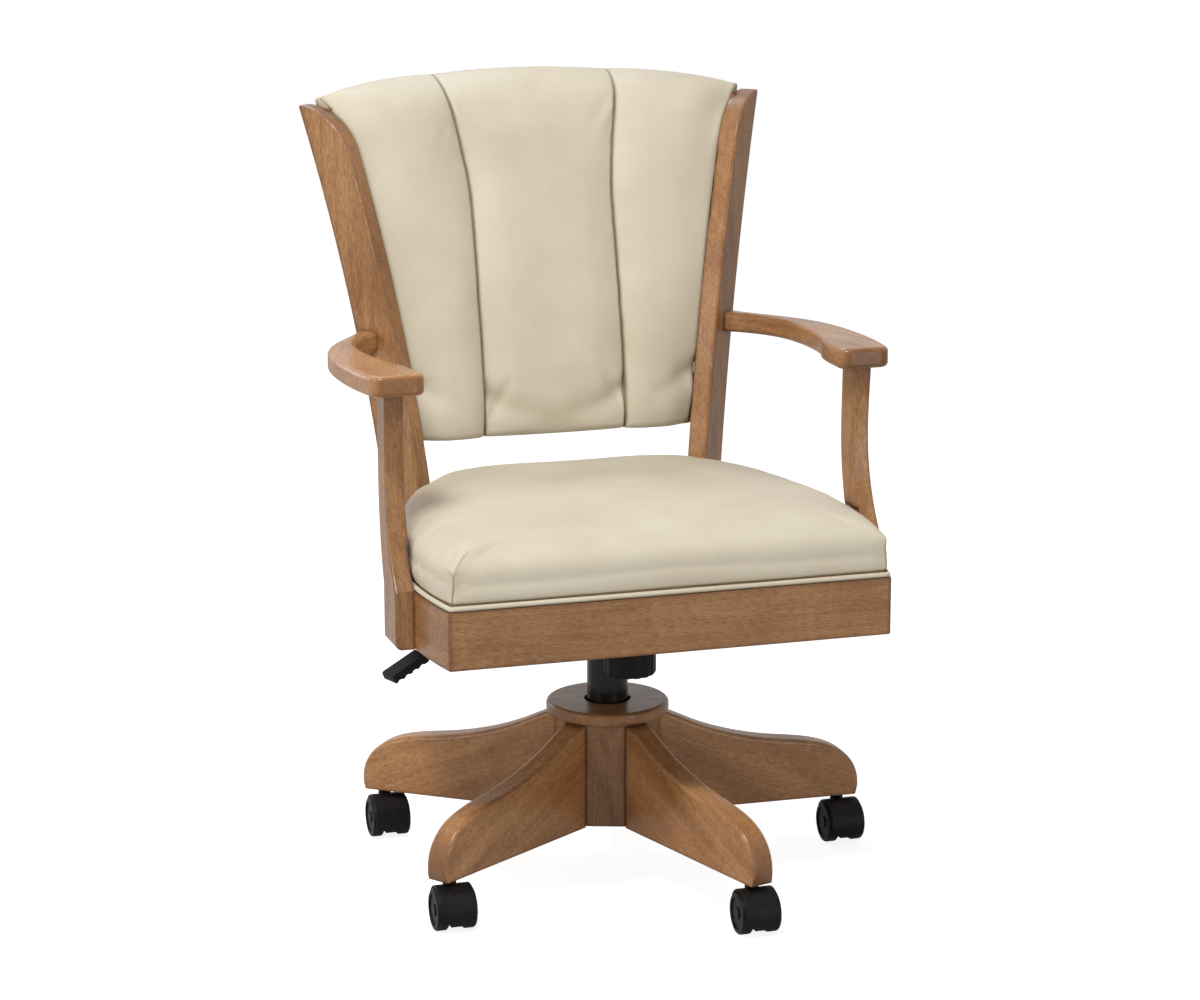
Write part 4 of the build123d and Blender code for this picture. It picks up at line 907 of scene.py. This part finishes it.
def make_cover():
    n = COVER_POINTS
    cs = np.linspace(-1, 1, n)
    rows = np.linspace(0, 1, n)
    inner = [cover_point(c, r, COVER_INNER) for r in rows for c in cs]
    outer = [cover_point(c, r, COVER_OUTER) + cover_rise(c, r) for r in rows for c in cs]
    faces = grid_faces(n, n) + [f[::-1] for f in grid_faces(n, n, base=n * n)]
    rim = [r * n + c for r, c in grid_rim(n, n)]
    faces += bridge_faces(rim, [k + n * n for k in rim])
    obj = mesh_object("outside_back", inner + outer, faces)
    co = coords(obj)
    co[:, 1] += waves(co, COVER_WAVES)
    set_coords(obj, co)
    subdivide(obj)
    obj.data.materials.append(leather)
    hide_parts("back_cover")
    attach(obj, "seat")


make_cover()

# Tilt spring: a round wire coil, its top end on the housing and its foot in the cup of the knob
SPRING_WAIST = 0.0035
SPRING_ROWS, SPRING_SIDES = 181, 14


def make_spring():
    """Coil with a narrower waist than the solid's, which leaves it room in the cup when the seat tilts."""
    low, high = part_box("tilt_spring")
    rise = high[2] - low[2] - 2 * SPRING_WIRE_R
    slope = rise / (2 * math.pi * SPRING_TURNS * SPRING_MEAN_R)
    verts = []
    for k in range(SPRING_ROWS):
        share = k / (SPRING_ROWS - 1)
        a = 2 * math.pi * SPRING_TURNS * share
        out = np.array((math.cos(a), math.sin(a), 0))
        ahead = np.array((-math.sin(a), math.cos(a), slope))
        up = np.cross(out, ahead / np.linalg.norm(ahead))
        radius = SPRING_MEAN_R - SPRING_WAIST * math.sin(math.pi * share) ** 2
        middle = np.array((0, SPRING_Y, low[2] + SPRING_WIRE_R + rise * share)) + out * radius
        for j in range(SPRING_SIDES):
            t = 2 * math.pi * j / SPRING_SIDES
            verts.append(middle + SPRING_WIRE_R * (math.cos(t) * out + math.sin(t) * up))
    first = tuple(range(SPRING_SIDES))
    last = tuple(range(len(verts) - SPRING_SIDES, len(verts)))
    faces = grid_faces(SPRING_ROWS, SPRING_SIDES, wrap=True) + [first[::-1], last]
    obj = mesh_object("coil_spring", verts, faces)
    obj.data.materials.append(steel)
    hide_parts("tilt_spring")
    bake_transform(obj)


make_spring()

# Floor and world: white to the camera, dimmer in mirrors and as light on the chair
FLOOR_SIZE, FLOOR_GREY = 60, (0.55, 0.55, 0.55)
FLOOR_GLOW, FLOOR_MIRRORED = 0.86, 0.25
WORLD_LIGHT, WORLD_MIRRORED, WORLD_SEEN = 0.25, 0.8, 1.0


def make_floor():
    bpy.ops.mesh.primitive_plane_add(size=FLOOR_SIZE, location=(0, 0, 0))
    floor = bpy.context.object
    floor.name = "studio_floor"
    material = bpy.data.materials.new("studio_white")
    material.use_nodes = True
    t = Nodes(material.node_tree)
    ray = t.node("ShaderNodeLightPath").outputs
    mirrored = t.maths("MAXIMUM", ray["Is Glossy Ray"], ray["Is Transmission Ray"])
    faint = t.maths("MULTIPLY", mirrored, FLOOR_MIRRORED)
    power = t.maths("MULTIPLY_ADD", ray["Is Camera Ray"], FLOOR_GLOW, faint)
    glow = t.node("ShaderNodeEmission", {"Color": WHITE, "Strength": power})
    plain = t.node("ShaderNodeBsdfDiffuse", {"Color": FLOOR_GREY})
    both = t.node("ShaderNodeAddShader", {0: plain.outputs[0], 1: glow.outputs[0]})
    t.node("ShaderNodeOutputMaterial", {"Surface": both.outputs[0]})
    floor.data.materials.append(material)


def make_world():
    world = bpy.data.worlds.new("studio")
    scene.world = world
    world.use_nodes = True
    t = Nodes(world.node_tree)
    soft, shine, white = (t.node("ShaderNodeBackground", {"Color": WHITE, "Strength": strength}).outputs[0]
                          for strength in (WORLD_LIGHT, WORLD_MIRRORED, WORLD_SEEN))
    ray = t.node("ShaderNodeLightPath").outputs
    seen = t.maths("MAXIMUM", ray["Is Camera Ray"], ray["Is Transmission Ray"])
    lit = t.node("ShaderNodeMixShader", {0: ray["Is Glossy Ray"], 1: soft, 2: shine})
    shown = t.node("ShaderNodeMixShader", {0: seen, 1: lit.outputs[0], 2: white})
    t.node("ShaderNodeOutputWorld", {"Surface": shown.outputs[0]})


def lamp(name, place, aim_z, size, power, colour=WHITE):
    """Square lamp that faces a height on the column's axis."""
    data = bpy.data.lights.new(name, "AREA")
    data.shape = "RECTANGLE"
    data.size = data.size_y = size
    data.energy = power
    data.color = colour
    obj = bpy.data.objects.new(name, data)
    scene.collection.objects.link(obj)
    obj.location = place
    obj.rotation_euler = (Vector((0, 0, aim_z)) - Vector(place)).to_track_quat("-Z", "Y").to_euler()


make_floor()
make_world()
lamp("key", (-1.07, -1.37, 3.18), 0.5, 0.7, 69)
lamp("fill", (-3.0, -0.9, 1.1), 0.5, 1.4, 20, (1.0, 0.97, 0.92))
lamp("low_fill", (1.4, -3.1, 0.7), 0.3, 1.2, 14, (1.0, 0.96, 0.90))
lamp("rim", (-0.1, 1.8, 2.9), 0.5, 0.35, 20, (0.94, 0.98, 1.06))
lamp("back_fill", (-1.8, 2.8, 1.0), 0.5, 1.4, 11)

# Camera at the photograph's viewing angle
CAMERA_PLACE, CAMERA_AIM = Vector((-1.2078, -3.8052, 1.3901)), Vector((0, 0, 0.4546))
CAMERA_LENS, CAMERA_SENSOR, CAMERA_SHIFT_X = 101.715, 36.0, -0.00617


def make_camera():
    data = bpy.data.cameras.new("camera")
    data.sensor_width = CAMERA_SENSOR
    data.lens = CAMERA_LENS
    data.shift_x = CAMERA_SHIFT_X
    camera = bpy.data.objects.new("camera", data)
    scene.collection.objects.link(camera)
    camera.location = CAMERA_PLACE
    camera.rotation_euler = (CAMERA_AIM - CAMERA_PLACE).to_track_quat("-Z", "Y").to_euler()
    scene.camera = camera


make_camera()
